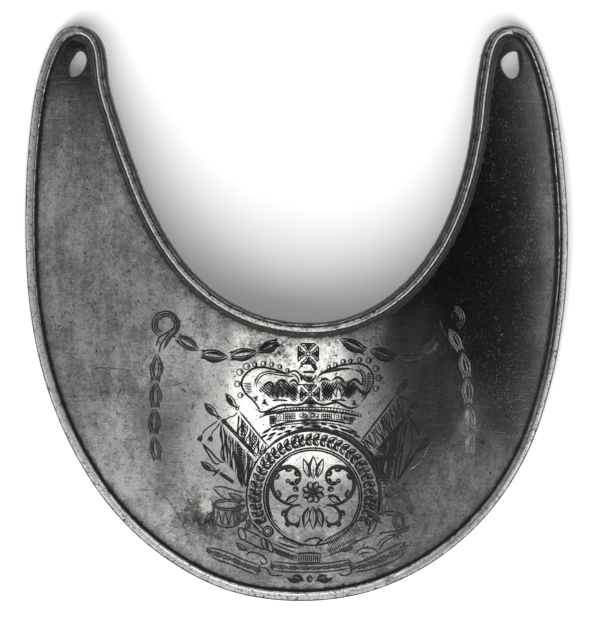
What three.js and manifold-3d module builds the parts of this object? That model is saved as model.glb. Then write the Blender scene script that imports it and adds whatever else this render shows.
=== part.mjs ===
// A crescent gorget, the small neck plate of an eighteenth century officer, raised in steel sheet.
// It is one solid: a shallow dome with a wide neck opening, whose outer edge is a rolled bead
// and whose neck edge is a reeded moulding. Each horn has a leaf-shaped hole for its ribbon.
// Lengths are millimetres. The plate lies on its back: +X goes across it to the viewer's right,
// +Y goes up to the horns and +Z out of its front. The origin is under its middle, on the table.
import * as THREE from 'three';
import { mergeVertices } from 'three/addons/utils/BufferGeometryUtils.js';
import Module from 'manifold-3d';

// Plate
const plateWidth = 120;
const plateHeight = 127.3;
const sheetThickness = 1.0;
const domeRadiusAcross = 78;
const domeRadiusAlong = 130;
const crownRise = 10;             // the dome's crown above the plate's middle
const lowerFootFromDown = 45;     // degrees from straight down to where the lower edge rests

// Neck opening
const neckWidth = 82.1;           // between the horns
const neckCentreRise = 44.9;      // above the plate's middle
const neckDrop = 46.75;           // from that centre down to the opening's lowest point

// Horns
const hornTipRadius = 6.0;
const hornTipInset = 2.5;         // the tips' centres lie this far inside the horns' middle line
const hornLean = -0.85;           // and both sit a little left of the plate's middle
const hornOuterTaper = 20;        // degrees that a horn's outer side leans from upright at its tip
const hornNeckTaper = 16;         // and its neck side

// Rims, as they stand on the front
const beadWidth = 2.3;
const beadHeight = 0.7;
const mouldingWidth = 3.6;
const mouldingHeight = 0.95;
const backEdgeRound = 0.2;

// Ribbon holes and the flat land behind each
const ribbonHoleLength = 6.6;
const ribbonHoleDrop = 2.4;       // from the tip's centre to the hole's centre
const ribbonSeatRadius = 5;
const punchDepth = 12;

// How finely the solid is divided
const stationsPerSide = 74;
const columnsAcross = 8;
const tipCrowding = 0.62;         // 0 spaces the stations evenly, 1 crowds them into the horn tips
const tipArcSteps = 4;
const outlineLookups = 4000;

// Outer edge: its reach from the plate's middle, as a share of the half width and half height,
// at each angle in degrees from straight down.
const outerEdge = [
  { fromDown: 0, left: 1.000, right: 1.000 },
  { fromDown: 15, left: 0.997, right: 1.003 },
  { fromDown: 30, left: 0.981, right: 0.998 },
  { fromDown: 45, left: 0.966, right: 0.989 },
  { fromDown: 60, left: 0.955, right: 0.976 },
  { fromDown: 75, left: 0.960, right: 0.964 },
  { fromDown: 90, left: 0.984, right: 0.979 },
  { fromDown: 105, left: 1.038, right: 1.030 },
  { fromDown: 120, left: 1.146, right: 1.126 },
  { fromDown: 130, left: 1.252, right: 1.223 },
];

// Neck edge: its reach from the opening's centre, as a share of the half width and the drop.
const neckEdge = [
  { fromDown: 0, left: 1.004, right: 1.004 },
  { fromDown: 12, left: 0.991, right: 1.015 },
  { fromDown: 24, left: 0.973, right: 1.012 },
  { fromDown: 36, left: 0.951, right: 0.996 },
  { fromDown: 48, left: 0.927, right: 0.973 },
  { fromDown: 60, left: 0.912, right: 0.950 },
  { fromDown: 72, left: 0.915, right: 0.937 },
  { fromDown: 84, left: 0.949, right: 0.940 },
  { fromDown: 96, left: 1.020, right: 0.967 },
];

// Ribbon hole edge: its reach from the hole's centre, as a share of half its length,
// at each angle in degrees clockwise from straight up.
const ribbonHoleEdge = [
  { around: 0, left: 0.89, right: 0.79 },
  { around: 30, left: 0.86, right: 1.00 },
  { around: 60, left: 0.73, right: 0.70 },
  { around: 90, left: 0.62, right: 0.65 },
  { around: 120, left: 0.59, right: 0.75 },
  { around: 150, left: 0.65, right: 0.95 },
  { around: 180, left: 0.84, right: 1.01 },
  { around: 210, left: 0.95, right: 0.79 },
  { around: 240, left: 0.72, right: 0.68 },
  { around: 270, left: 0.58, right: 0.66 },
  { around: 300, left: 0.53, right: 0.65 },
  { around: 330, left: 0.60, right: 0.67 },
];

// The two rims' sections, from the edge inwards. Distances in are shares of the rim's width
// and rises are shares of its height; past the bead runs a narrow groove.
const rimSection = [
  { beadIn: 0.00, beadUp: 0.10, mouldingIn: 0.00, mouldingUp: 0.15 },
  { beadIn: 0.07, beadUp: 0.55, mouldingIn: 0.04, mouldingUp: 0.75 },
  { beadIn: 0.22, beadUp: 0.88, mouldingIn: 0.15, mouldingUp: 1.00 },
  { beadIn: 0.40, beadUp: 1.00, mouldingIn: 0.26, mouldingUp: 0.80 },
  { beadIn: 0.60, beadUp: 1.00, mouldingIn: 0.31, mouldingUp: 0.50 },
  { beadIn: 0.78, beadUp: 0.88, mouldingIn: 0.36, mouldingUp: 0.80 },
  { beadIn: 0.93, beadUp: 0.55, mouldingIn: 0.46, mouldingUp: 1.00 },
  { beadIn: 1.00, beadUp: 0.00, mouldingIn: 0.57, mouldingUp: 0.75 },
  { beadIn: 1.08, beadUp: -0.30, mouldingIn: 0.62, mouldingUp: 0.38 },
  { beadIn: 1.18, beadUp: 0.00, mouldingIn: 0.70, mouldingUp: 0.55 },
  { beadIn: 1.50, beadUp: 0.00, mouldingIn: 1.00, mouldingUp: 0.00 },
];

const degrees = Math.PI / 180;

const horns = [-1, 1].map((side) => {
  const spread = (plateWidth + neckWidth) / 4 - hornTipInset;
  return {
    side,
    x: side * spread + hornLean,
    y: plateHeight / 2 - hornTipRadius,
  };
});

function edgePoint(row, side, centreY, halfAcross, drop) {
  const reach = side < 0 ? row.left : row.right;
  const angle = row.fromDown * degrees;
  return new THREE.Vector3(
    side * reach * halfAcross * Math.sin(angle),
    centreY - reach * drop * Math.cos(angle),
    0,
  );
}

function tipPoints(horn) {
  // The round end of a horn, from its outer side over the top to its neck side.
  return Array.from({ length: tipArcSteps + 1 }, (_, step) => {
    const turn = THREE.MathUtils.lerp(180 - hornOuterTaper, hornNeckTaper, step / tipArcSteps);
    const angle = (horn.side < 0 ? turn : 180 - turn) * degrees;
    return new THREE.Vector3(
      horn.x + hornTipRadius * Math.cos(angle),
      horn.y + hornTipRadius * Math.sin(angle),
      0,
    );
  });
}

function outlineCurve() {
  // The whole edge in plan, anticlockwise from the bottom: right side, right horn, neck, left horn.
  const [leftHorn, rightHorn] = horns;
  const outer = (side) => outerEdge.slice(1).map(
    (row) => edgePoint(row, side, 0, plateWidth / 2, plateHeight / 2),
  );
  const neck = (side) => neckEdge.slice(1).map(
    (row) => edgePoint(row, side, neckCentreRise, neckWidth / 2, neckDrop),
  );
  const points = [
    edgePoint(outerEdge[0], 1, 0, plateWidth / 2, plateHeight / 2),
    ...outer(1),
    ...tipPoints(rightHorn),
    ...neck(1).reverse(),
    edgePoint(neckEdge[0], 1, neckCentreRise, neckWidth / 2, neckDrop),
    ...neck(-1),
    ...tipPoints(leftHorn).reverse(),
    ...outer(-1).reverse(),
  ];
  return new THREE.CatmullRomCurve3(points, true, 'centripetal');
}

// The dome: how far the sheet has dropped from its crown at a place in plan. Its middle line
// leans with the horns.
const middleLean = hornLean / (plateHeight / 2 - hornTipRadius);

function dropAt(x, y) {
  const across = x - middleLean * y;
  const up = y - crownRise;
  return (across * across) / (2 * domeRadiusAcross) + (up * up) / (2 * domeRadiusAlong);
}

function slopeAt(x, y) {
  // How fast the drop grows across and up the plate.
  const across = (x - middleLean * y) / domeRadiusAcross;
  return new THREE.Vector2(across, (y - crownRise) / domeRadiusAlong - middleLean * across);
}

// The plate leans back until the horns and the lower quarters of the edge touch the table.
const lowerFoot = edgePoint(
  outerEdge.find((row) => row.fromDown === lowerFootFromDown),
  -1,
  0,
  plateWidth / 2,
  plateHeight / 2,
);
const upperFoot = slopeAt(horns[0].x, horns[0].y)
  .setLength(hornTipRadius)
  .add(new THREE.Vector2(horns[0].x, horns[0].y));
const leanBack = (dropAt(upperFoot.x, upperFoot.y) - dropAt(lowerFoot.x, lowerFoot.y))
  / (upperFoot.y - lowerFoot.y);

function sheetHeight(x, y) {
  return leanBack * y - dropAt(x, y);
}

function sheetNormal(x, y) {
  const slope = slopeAt(x, y);
  return new THREE.Vector3(slope.x, slope.y - leanBack, 1).normalize();
}

// A point at a place in plan, raised off the dome along its normal.
function raised(x, y, rise) {
  return sheetNormal(x, y).multiplyScalar(rise).add(new THREE.Vector3(x, y, sheetHeight(x, y)));
}

const ribbonHoles = horns.map((horn) => ({
  ...horn,
  y: horn.y - ribbonHoleDrop,
}));

function backPoint(x, y, depth) {
  // The back follows the front, apart from a flat land round each ribbon hole.
  const point = raised(x, y, -depth);
  const hole = ribbonHoles.find((h) => Math.hypot(x - h.x, y - h.y) <= ribbonSeatRadius);
  if (hole && depth === sheetThickness) {
    const normal = sheetNormal(hole.x, hole.y);
    const centre = raised(hole.x, hole.y, -sheetThickness);
    const offPlane = point.clone().sub(centre).dot(normal);
    point.addScaledVector(normal, -offPlane);
  }
  return point;
}

// Stations round the edge: the outer side from the left horn to the right, then the neck back.
const outline = outlineCurve();
outline.arcLengthDivisions = outlineLookups;

function apexShare(horn) {
  // Where the top of a horn lies along the outline, as a share of its length.
  let best = 0;
  let bestY = -Infinity;
  for (let i = 0; i < outlineLookups; i += 1) {
    const point = outline.getPointAt(i / outlineLookups);
    if (Math.sign(point.x) === horn.side && point.y > bestY) {
      best = i / outlineLookups;
      bestY = point.y;
    }
  }
  return best;
}

const [leftApex, rightApex] = horns.map(apexShare);

function crowded(share) {
  return share - tipCrowding * Math.sin(2 * Math.PI * share) / (2 * Math.PI);
}

function stationAt(index) {
  const onOuter = index < stationsPerSide;
  const share = crowded((onOuter ? index : index - stationsPerSide) / stationsPerSide);
  const start = onOuter ? leftApex : rightApex;
  const end = onOuter ? rightApex + 1 : leftApex;
  const along = (start + share * (end - start)) % 1;
  const tangent = outline.getTangentAt(along);
  const atApex = index % stationsPerSide === 0;
  return {
    place: outline.getPointAt(along),
    inward: new THREE.Vector3(-tangent.y, tangent.x, 0),
    moulded: atApex ? 0.5 : Number(!onOuter),
  };
}

const stationCount = 2 * stationsPerSide;
const stations = Array.from({ length: stationCount }, (_, index) => stationAt(index));

function inset(station, distance) {
  return station.place.clone().addScaledVector(station.inward, distance);
}

function frontRing(row) {
  return stations.map((station) => {
    const distance = THREE.MathUtils.lerp(
      row.beadIn * beadWidth,
      row.mouldingIn * mouldingWidth,
      station.moulded,
    );
    const rise = THREE.MathUtils.lerp(
      row.beadUp * beadHeight,
      row.mouldingUp * mouldingHeight,
      station.moulded,
    );
    const { x, y } = inset(station, distance);
    return raised(x, y, rise);
  });
}

function backRing(distance, depth) {
  return stations.map((station) => {
    const { x, y } = inset(station, distance);
    return backPoint(x, y, depth);
  });
}

function fieldRows(innerRing, pointAt) {
  // Rows across the plate, each from the outer rim to the neck rim, between the two apexes.
  const rows = [];
  for (let i = 1; i < stationsPerSide; i += 1) {
    const outer = innerRing[i];
    const neck = innerRing[stationCount - i];
    const row = [];
    for (let j = 1; j < columnsAcross; j += 1) {
      const share = j / columnsAcross;
      row.push(pointAt(
        THREE.MathUtils.lerp(outer.x, neck.x, share),
        THREE.MathUtils.lerp(outer.y, neck.y, share),
      ));
    }
    rows.push(row);
  }
  return rows;
}

function plateGeometry() {
  const fieldInset = Math.max(rimSection.at(-1).beadIn * beadWidth, mouldingWidth);
  const rings = [
    backRing(fieldInset, sheetThickness),
    backRing(backEdgeRound, sheetThickness),
    backRing(0, sheetThickness - backEdgeRound),
    ...rimSection.map(frontRing),
  ];
  const positions = [];
  const triangles = [];
  const add = (point) => positions.push(point.x, point.y, point.z) / 3 - 1;
  const ringStarts = rings.map((ring) => ring.map(add)[0]);
  const triangle = (a, b, c) => {
    if (a !== b && b !== c && c !== a) {
      triangles.push(a, b, c);
    }
  };
  const quad = (a, b, c, d) => {
    triangle(a, b, c);
    triangle(a, c, d);
  };

  for (let r = 0; r < rings.length - 1; r += 1) {
    for (let k = 0; k < stationCount; k += 1) {
      const next = (k + 1) % stationCount;
      quad(
        ringStarts[r] + k,
        ringStarts[r] + next,
        ringStarts[r + 1] + next,
        ringStarts[r + 1] + k,
      );
    }
  }

  const sides = [
    { ring: 0, pointAt: (x, y) => backPoint(x, y, sheetThickness), facesUp: false },
    { ring: rings.length - 1, pointAt: (x, y) => raised(x, y, 0), facesUp: true },
  ];
  for (const { ring, pointAt, facesUp } of sides) {
    const start = ringStarts[ring];
    const inner = fieldRows(rings[ring], pointAt).map((row) => row.map(add));
    const vertexAt = (i, j) => {
      if (i === 0 || i === stationsPerSide) {
        return start + i;
      }
      if (j === 0) {
        return start + i;
      }
      if (j === columnsAcross) {
        return start + stationCount - i;
      }
      return inner[i - 1][j - 1];
    };
    for (let i = 0; i < stationsPerSide; i += 1) {
      for (let j = 0; j < columnsAcross; j += 1) {
        const corners = [vertexAt(i, j), vertexAt(i + 1, j), vertexAt(i + 1, j + 1), vertexAt(i, j + 1)];
        quad(...(facesUp ? corners : corners.reverse()));
      }
    }
  }

  const geometry = new THREE.BufferGeometry();
  geometry.setAttribute('position', new THREE.Float32BufferAttribute(positions, 3));
  geometry.setIndex(triangles);
  return geometry;
}

function ribbonPunch(hole) {
  // A leaf-shaped prism that goes through the horn square to the sheet.
  const corners = ribbonHoleEdge.map((row) => {
    const reach = (hole.side < 0 ? row.left : row.right) * ribbonHoleLength / 2;
    const angle = row.around * degrees;
    return new THREE.Vector2(reach * Math.sin(angle), reach * Math.cos(angle));
  });
  const punch = new THREE.ExtrudeGeometry(new THREE.Shape(corners), {
    depth: punchDepth,
    bevelEnabled: false,
  });
  punch.translate(0, 0, -punchDepth / 2);
  const normal = sheetNormal(hole.x, hole.y);
  const shear = new THREE.Matrix4().set(
    1, 0, normal.x / normal.z, hole.x,
    0, 1, normal.y / normal.z, hole.y,
    0, 0, 1, sheetHeight(hole.x, hole.y),
    0, 0, 0, 1,
  );
  return punch.applyMatrix4(shear);
}

const wasm = await Module();
wasm.setup();

function toSolid(geometry) {
  geometry.deleteAttribute('normal');
  geometry.deleteAttribute('uv');
  const merged = mergeVertices(geometry);
  return new wasm.Manifold(new wasm.Mesh({
    numProp: 3,
    vertProperties: Float32Array.from(merged.attributes.position.array),
    triVerts: Uint32Array.from(merged.index.array),
  }));
}

function toGeometry(solid) {
  const mesh = solid.getMesh();
  const geometry = new THREE.BufferGeometry();
  geometry.setAttribute('position', new THREE.Float32BufferAttribute(mesh.vertProperties, 3));
  geometry.setIndex(new THREE.Uint32BufferAttribute(mesh.triVerts, 1));
  return geometry;
}

const punched = ribbonHoles.reduce(
  (solid, hole) => solid.subtract(toSolid(ribbonPunch(hole))),
  toSolid(plateGeometry()),
);
const plate = toGeometry(punched);

// The plate's box stands on the table and is centred on the origin.
plate.computeBoundingBox();
const middle = plate.boundingBox.getCenter(new THREE.Vector3());
plate.translate(-middle.x, -middle.y, -plate.boundingBox.min.z);
plate.computeVertexNormals();

const steel = new THREE.MeshStandardMaterial({
  color: 0x8d8b87,
  roughness: 0.34,
  metalness: 1,
});
const gorgetPlate = new THREE.Mesh(plate, steel);
gorgetPlate.name = 'gorget_plate';

const group = new THREE.Group();
group.add(gorgetPlate);

export default group;
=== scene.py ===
"""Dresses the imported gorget: one engraved plate of old steel, and the stage it lies on.

Lengths in the settings and tables are millimetres, in the plate's own frame: +X to the viewer's
right, +Y up to the horns, +Z out of the front. The finished mesh is in metres.
"""

import bpy
import numpy as np
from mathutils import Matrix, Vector
from mathutils.geometry import delaunay_2d_cdt


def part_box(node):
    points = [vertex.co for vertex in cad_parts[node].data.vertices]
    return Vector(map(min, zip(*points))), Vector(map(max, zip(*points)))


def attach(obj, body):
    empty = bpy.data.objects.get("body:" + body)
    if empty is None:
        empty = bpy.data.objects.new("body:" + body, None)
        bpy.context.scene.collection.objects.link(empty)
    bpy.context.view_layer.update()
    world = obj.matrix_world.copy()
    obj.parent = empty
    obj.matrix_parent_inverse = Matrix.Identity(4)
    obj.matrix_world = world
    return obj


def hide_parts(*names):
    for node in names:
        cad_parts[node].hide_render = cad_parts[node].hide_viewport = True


bl_info = {
    "name": "Steel gorget",
    "version": (1, 0, 0),
    "blender": (4, 5, 0),
    "location": "View3D > Sidebar > Gorget",
    "description": "Builds an engraved steel gorget and the stage it lies on",
    "category": "Object",
}

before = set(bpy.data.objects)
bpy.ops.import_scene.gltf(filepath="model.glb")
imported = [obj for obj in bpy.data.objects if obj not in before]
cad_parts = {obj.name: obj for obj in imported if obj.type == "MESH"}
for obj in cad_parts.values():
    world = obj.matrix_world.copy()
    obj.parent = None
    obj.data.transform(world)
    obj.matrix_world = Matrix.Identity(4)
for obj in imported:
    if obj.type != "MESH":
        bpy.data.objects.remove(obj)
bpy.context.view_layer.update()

MM = 0.001
NODE = "gorget_plate"
BODY = "root"

# Outer edge: its reach from the plate's middle, as a share of the half width and half height,
# at each angle in degrees from straight down.
OUTER_EDGE = [
    # from down, left, right
    (0, 1.000, 1.000),
    (15, 0.997, 1.003),
    (30, 0.981, 0.998),
    (45, 0.966, 0.989),
    (60, 0.955, 0.976),
    (75, 0.960, 0.964),
    (90, 0.984, 0.979),
    (105, 1.038, 1.030),
    (120, 1.146, 1.126),
    (130, 1.252, 1.223),
]

# Neck edge: its reach from the opening's centre, as a share of the half width and the drop.
NECK_EDGE = [
    # from down, left, right
    (0, 1.004, 1.004),
    (12, 0.991, 1.015),
    (24, 0.973, 1.012),
    (36, 0.951, 0.996),
    (48, 0.927, 0.973),
    (60, 0.912, 0.950),
    (72, 0.915, 0.937),
    (84, 0.949, 0.940),
    (96, 1.020, 0.967),
]

# Ribbon hole edge: its reach from the hole's centre, as a share of half its length.
RIBBON_HOLE_EDGE = [
    # clockwise from up, left hole, right hole
    (0, 0.89, 0.79),
    (30, 0.86, 1.00),
    (60, 0.73, 0.70),
    (90, 0.62, 0.65),
    (120, 0.59, 0.75),
    (150, 0.65, 0.95),
    (180, 0.84, 1.01),
    (210, 0.95, 0.79),
    (240, 0.72, 0.68),
    (270, 0.58, 0.66),
    (300, 0.53, 0.65),
    (330, 0.60, 0.67),
]

# The two rims' sections, from the edge inwards: distances in as shares of the rim's width,
# rises as shares of its height, and how dark each line of the section is made: dirt in the
# grooves, painted shade in the valleys beside them, and darker at the very edge.
RIM_SECTION = [
    # bead in, bead up, bead dirt and shade, moulding in, moulding up, moulding dirt and shade
    (0.00, 0.10, 1.00, 0.00, 0.15, 1.00),
    (0.07, 0.55, 1.00, 0.05, 0.70, 1.00),
    (0.22, 0.86, 0.80, 0.10, 0.88, 0.45),
    (0.36, 0.97, 0.10, 0.17, 0.80, 1.00),
    (0.60, 1.00, 0.00, 0.25, 0.92, 0.60),
    (0.78, 0.88, 0.10, 0.33, 1.00, 0.00),
    (0.92, 0.55, 0.50, 0.42, 0.98, 0.00),
    (1.00, 0.00, 1.00, 0.50, 0.78, 0.20),
    (1.05, -0.25, 1.00, 0.57, 0.42, 1.00),
    (1.12, 0.00, 0.80, 0.66, 0.38, 0.70),
    (1.30, 0.00, 0.45, 0.78, 0.10, 0.95),
    (1.50, 0.00, 0.15, 1.00, 0.00, 0.40),
]

# The edge of a ribbon hole, from the back through to the front.
HOLE_SECTION = [
    # distance out from the hole, depth as a share of the sheet, extra rise, how dark it is made
    (0.40, 1.00, 0.00, 0.3),
    (0.12, 1.00, 0.00, 0.8),
    (0.00, 0.90, 0.00, 1.0),
    (0.00, 0.50, 0.00, 0.8),
    (0.00, 0.14, 0.00, 0.9),
    (0.08, 0.05, 0.00, 1.0),
    (0.22, 0.00, 0.03, 0.8),
    (0.45, 0.00, 0.00, 0.1),
]

# Small knocks in the rims and the sheet
DENTS = [
    # x, y, radius, depth
    (-36.1, 31.7, 1.1, 0.35),
    (-12.5, 1.0, 0.9, 0.30),
    (-3.0, -2.5, 0.8, 0.28),
    (2.5, -3.0, 0.7, 0.20),
    (9.0, -2.4, 0.9, 0.22),
    (16.0, -0.6, 0.8, 0.18),
    (-41.5, 44.0, 1.0, 0.20),
    (36.5, 27.0, 1.0, 0.20),
    (-57.6, 6.0, 1.2, 0.15),
    (-44.0, -39.5, 1.3, 0.20),
    (21.0, -57.5, 1.4, 0.18),
]

# Dark stains on the front, and a few bells of painted shade among them
STAINS_AND_PAINTED_SHADE = [
    # x, y, radius, amount
    (-23.5, -44.5, 3.4, 0.42),
    (-20.5, -47.5, 4.2, 0.42),
    (-15.5, -49.0, 4.6, 0.32),
    (-14.0, -43.0, 5.0, 0.26),
    (22.0, -44.0, 4.0, 0.26),
    (3.0, -52.5, 5.5, 0.30),
    (-9.0, -56.0, 5.0, 0.20),
    (14.0, -54.0, 5.0, 0.22),
    (-24.0, -41.5, 2.2, 0.30),
    (-41.0, -3.0, 2.0, 0.50),
    (-42.2, -8.5, 1.3, 0.35),
    (-43.0, -17.0, 2.0, 0.60),
    (-42.5, -13.5, 1.3, 0.40),
    (-37.8, -14.6, 2.2, 0.45),
    (-36.4, -17.9, 1.8, 0.45),
    (-34.6, -4.6, 1.2, 0.45),
    (-30.5, -17.0, 2.6, 0.30),
    (-30.5, -24.0, 2.6, 0.30),
    (-29.0, -38.3, 2.5, 0.30),
    (-27.0, -46.0, 2.0, 0.25),
    (-51.0, -21.5, 2.0, 0.35),
    (-47.5, -29.0, 1.8, 0.35),
    (-20.0, 1.5, 4.0, 0.14),
    (-27.5, 9.0, 3.5, 0.12),
    (-47.0, 30.0, 4.0, 0.25),
    (-46.0, 42.0, 8.0, 0.34),
    (40.4, -28.6, 1.5, 0.75),
    (32.5, -26.4, 2.6, 0.45),
    (29.5, -28.6, 1.4, 0.50),
    (26.5, -24.5, 1.6, 0.40),
    (34.5, -1.0, 2.6, 0.35),
    (49.5, 12.0, 2.2, 0.45),
    (47.5, 1.0, 2.0, 0.35),
    (50.5, -8.0, 2.0, 0.40),
    (14.0, -46.5, 4.5, 0.38),
    (-8.5, -50.5, 3.5, 0.38),
    (-2.0, -58.6, 2.5, 0.30),
    # Painted shade: these two dim the key light's reflection left of the crown's cross
    (-4.6, -7.4, 4.6, 0.55),
    (-9.5, -8.5, 3.0, 0.40),
    (2.7, -14.3, 2.0, 0.60),
    (3.0, -22.6, 3.4, 0.45),
    (-3.4, -16.6, 3.6, 0.50),
    (9.2, -16.6, 3.6, 0.50),
    (3.0, -25.8, 6.0, 0.30),
    (44.0, 18.0, 5.0, 0.30),
    (40.0, 6.0, 5.0, 0.25),
    (46.0, 42.0, 5.0, 0.30),
    (-5.6, -17.0, 1.9, 0.50),
    (-1.3, -17.4, 1.5, 0.50),
    (6.3, -17.2, 1.3, 0.55),
    (11.9, -17.0, 1.6, 0.55),
    (-9.8, -18.4, 1.0, 0.50),
    (14.6, -16.6, 1.2, 0.50),
    (-4.6, -23.2, 1.6, 0.40),
    (9.6, -22.9, 1.8, 0.40),
    (2.8, -19.3, 1.2, 0.40),
    (-1.0, -28.4, 1.8, 0.30),
    (-3.0, -31.0, 1.4, 0.30),
]

# Places that rubbing has kept bright, and broad bells of painted highlight where the key light's
# reflection lies
RUBBED_AND_PAINTED_HIGHLIGHT = [
    # x, y, radius, amount
    # Painted highlight: these three brighten the key light's reflection round the crown and over
    # the strap
    (2.0, -18.5, 12.0, 0.50),
    (-14.0, -21.0, 11.0, 0.45),
    (2.0, -33.0, 11.0, 0.40),
    (-22.0, -31.0, 7.0, 0.25),
    (-20.2, -42.6, 1.3, 0.90),
    (-31.0, -45.0, 5.0, 0.30),
    (-38.0, -37.0, 4.0, 0.25),
    (17.0, -17.0, 6.0, 0.30),
    (-25.0, 0.6, 2.0, 0.50),
]

# Slow unevenness left by the hammer, as sums of plane waves
HAMMER_WAVES = [
    # wavelength, heading in degrees, height, phase
    (23.0, 20, 0.022, 0.3),
    (17.0, 95, 0.018, 1.9),
    (13.0, 150, 0.012, 4.0),
    (9.5, 60, 0.007, 2.2),
    (8.0, 120, 0.006, 5.1),
    (6.1, 10, 0.003, 0.9),
]

# The mesh: how far apart the points of the two fields lie, how much of that they keep clear of a
# loop, how near to each other two points become one, and the least depth that counts as a cut
FRONT_PITCH = 1.3
BACK_PITCH = 3.0
CLEARANCE = 0.45
SAME_POINT = 0.004
SHALLOWEST_CUT = 0.003

# How dirty the back is, and the share of a rim's height above which it is polished
BACK_DIRT = 0.3
POLISHED_ABOVE = 0.6


class GorgetPlateSettings(bpy.types.PropertyGroup):
    """Sizes of the plate, in millimetres."""

    width: bpy.props.FloatProperty(
        name="Width", description="Width of the plate in mm", default=120.0)
    height: bpy.props.FloatProperty(
        name="Height", description="Height of the plate in mm, lying flat", default=127.3)
    thickness: bpy.props.FloatProperty(
        name="Sheet", description="Thickness of the sheet in mm", default=1.0)
    dome_across: bpy.props.FloatProperty(
        name="Dome across", description="Radius of the dome across the plate in mm", default=78.0)
    dome_along: bpy.props.FloatProperty(
        name="Dome along", description="Radius of the dome up the plate in mm", default=130.0)
    crown_rise: bpy.props.FloatProperty(
        name="Crown", description="Rise of the dome's crown above the middle in mm", default=10.0)
    foot_angle: bpy.props.FloatProperty(
        name="Foot", description="Degrees from straight down to where the edge rests", default=45.0)
    neck_width: bpy.props.FloatProperty(
        name="Neck", description="Width of the neck opening in mm", default=82.1)
    neck_centre: bpy.props.FloatProperty(
        name="Neck centre", description="Height of the opening's centre in mm", default=44.9)
    neck_drop: bpy.props.FloatProperty(
        name="Neck drop", description="From that centre down to the neck edge in mm", default=46.75)
    tip_radius: bpy.props.FloatProperty(
        name="Horn tip", description="Radius of a horn's tip in mm", default=6.0)
    tip_inset: bpy.props.FloatProperty(
        name="Tip inset", description="How far the tips sit inside the horns in mm", default=2.5)
    horn_lean: bpy.props.FloatProperty(
        name="Horn lean", description="Shift of both horns across the plate in mm", default=-0.85)
    outer_taper: bpy.props.FloatProperty(
        name="Outer taper", description="Lean of a horn's outer side in degrees", default=20.0)
    neck_taper: bpy.props.FloatProperty(
        name="Neck taper", description="Lean of a horn's neck side in degrees", default=16.0)
    bead_width: bpy.props.FloatProperty(
        name="Bead width", description="Width of the outer bead in mm", default=2.3)
    bead_height: bpy.props.FloatProperty(
        name="Bead height", description="Height of the outer bead in mm", default=0.7)
    moulding_width: bpy.props.FloatProperty(
        name="Moulding width", description="Width of the neck moulding in mm", default=3.6)
    moulding_height: bpy.props.FloatProperty(
        name="Moulding height", description="Height of the neck moulding in mm", default=0.95)
    back_round: bpy.props.FloatProperty(
        name="Back edge", description="Rounding of the back edge in mm", default=0.2)
    hole_length: bpy.props.FloatProperty(
        name="Ribbon hole", description="Length of a ribbon hole in mm", default=6.6)
    hole_drop: bpy.props.FloatProperty(
        name="Hole drop", description="From a tip's centre down to its hole in mm", default=2.4)
    seat_radius: bpy.props.FloatProperty(
        name="Seat", description="Radius of the flat land behind a hole in mm", default=5.0)


class GorgetEngravingSettings(bpy.types.PropertyGroup):
    """Sizes of the engraver's cuts, in millimetres."""

    fine: bpy.props.FloatProperty(
        name="Fine line", description="Width of a fine cut in mm", default=0.30)
    line: bpy.props.FloatProperty(
        name="Line", description="Width of an outline cut in mm", default=0.40)
    shade: bpy.props.FloatProperty(
        name="Shade", description="Width of a swelling shade cut in mm", default=0.95)
    steepness: bpy.props.FloatProperty(
        name="Steepness", description="Depth of a cut beside its half width", default=0.8)
    deepest: bpy.props.FloatProperty(
        name="Deepest", description="Greatest depth of a cut in mm", default=0.16)


class GorgetFinishSettings(bpy.types.PropertyGroup):
    """Colours and finish of the old steel."""

    steel: bpy.props.FloatVectorProperty(
        name="Steel", description="Colour of the bare steel", subtype="COLOR",
        size=3, default=(0.62, 0.61, 0.595), min=0.0, max=1.0)
    tarnish: bpy.props.FloatVectorProperty(
        name="Tarnish", description="Colour of the darkened steel", subtype="COLOR",
        size=3, default=(0.20, 0.194, 0.186), min=0.0, max=1.0)
    # Also the colour of the painted shade in the rims' valleys and in a few stains
    dirt: bpy.props.FloatVectorProperty(
        name="Dirt", description="Colour of the dirt in grooves and cuts", subtype="COLOR",
        size=3, default=(0.022, 0.020, 0.018), min=0.0, max=1.0)
    # Also the colour of the painted highlight over the crown and the strap
    polished: bpy.props.FloatVectorProperty(
        name="Polished", description="Colour of the rubbed ridges", subtype="COLOR",
        size=3, default=(0.70, 0.69, 0.67), min=0.0, max=1.0)
    roughness: bpy.props.FloatProperty(
        name="Roughness", description="Roughness of the polished field", default=0.16)


class GorgetStageSettings(bpy.types.PropertyGroup):
    """The camera, the floor and the room."""

    camera_height: bpy.props.FloatProperty(
        name="Camera", description="Height of the camera", default=2.4, unit="LENGTH")
    view_height: bpy.props.FloatProperty(
        name="View", description="Height of the view at the plate in mm", default=137.9)
    floor_colour: bpy.props.FloatVectorProperty(
        name="Floor", description="Colour of the floor", subtype="COLOR",
        size=3, default=(0.92, 0.92, 0.92), min=0.0, max=1.0)
    floor_roughness: bpy.props.FloatProperty(
        name="Floor roughness", description="Roughness of the floor", default=0.9)
    floor_size: bpy.props.FloatProperty(
        name="Floor size", description="Width of the floor", default=6.0, unit="LENGTH")
    room_colour: bpy.props.FloatVectorProperty(
        name="Room", description="Colour of the dark room round the stage", subtype="COLOR",
        size=3, default=(0.005, 0.005, 0.005), min=0.0, max=1.0)


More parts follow.
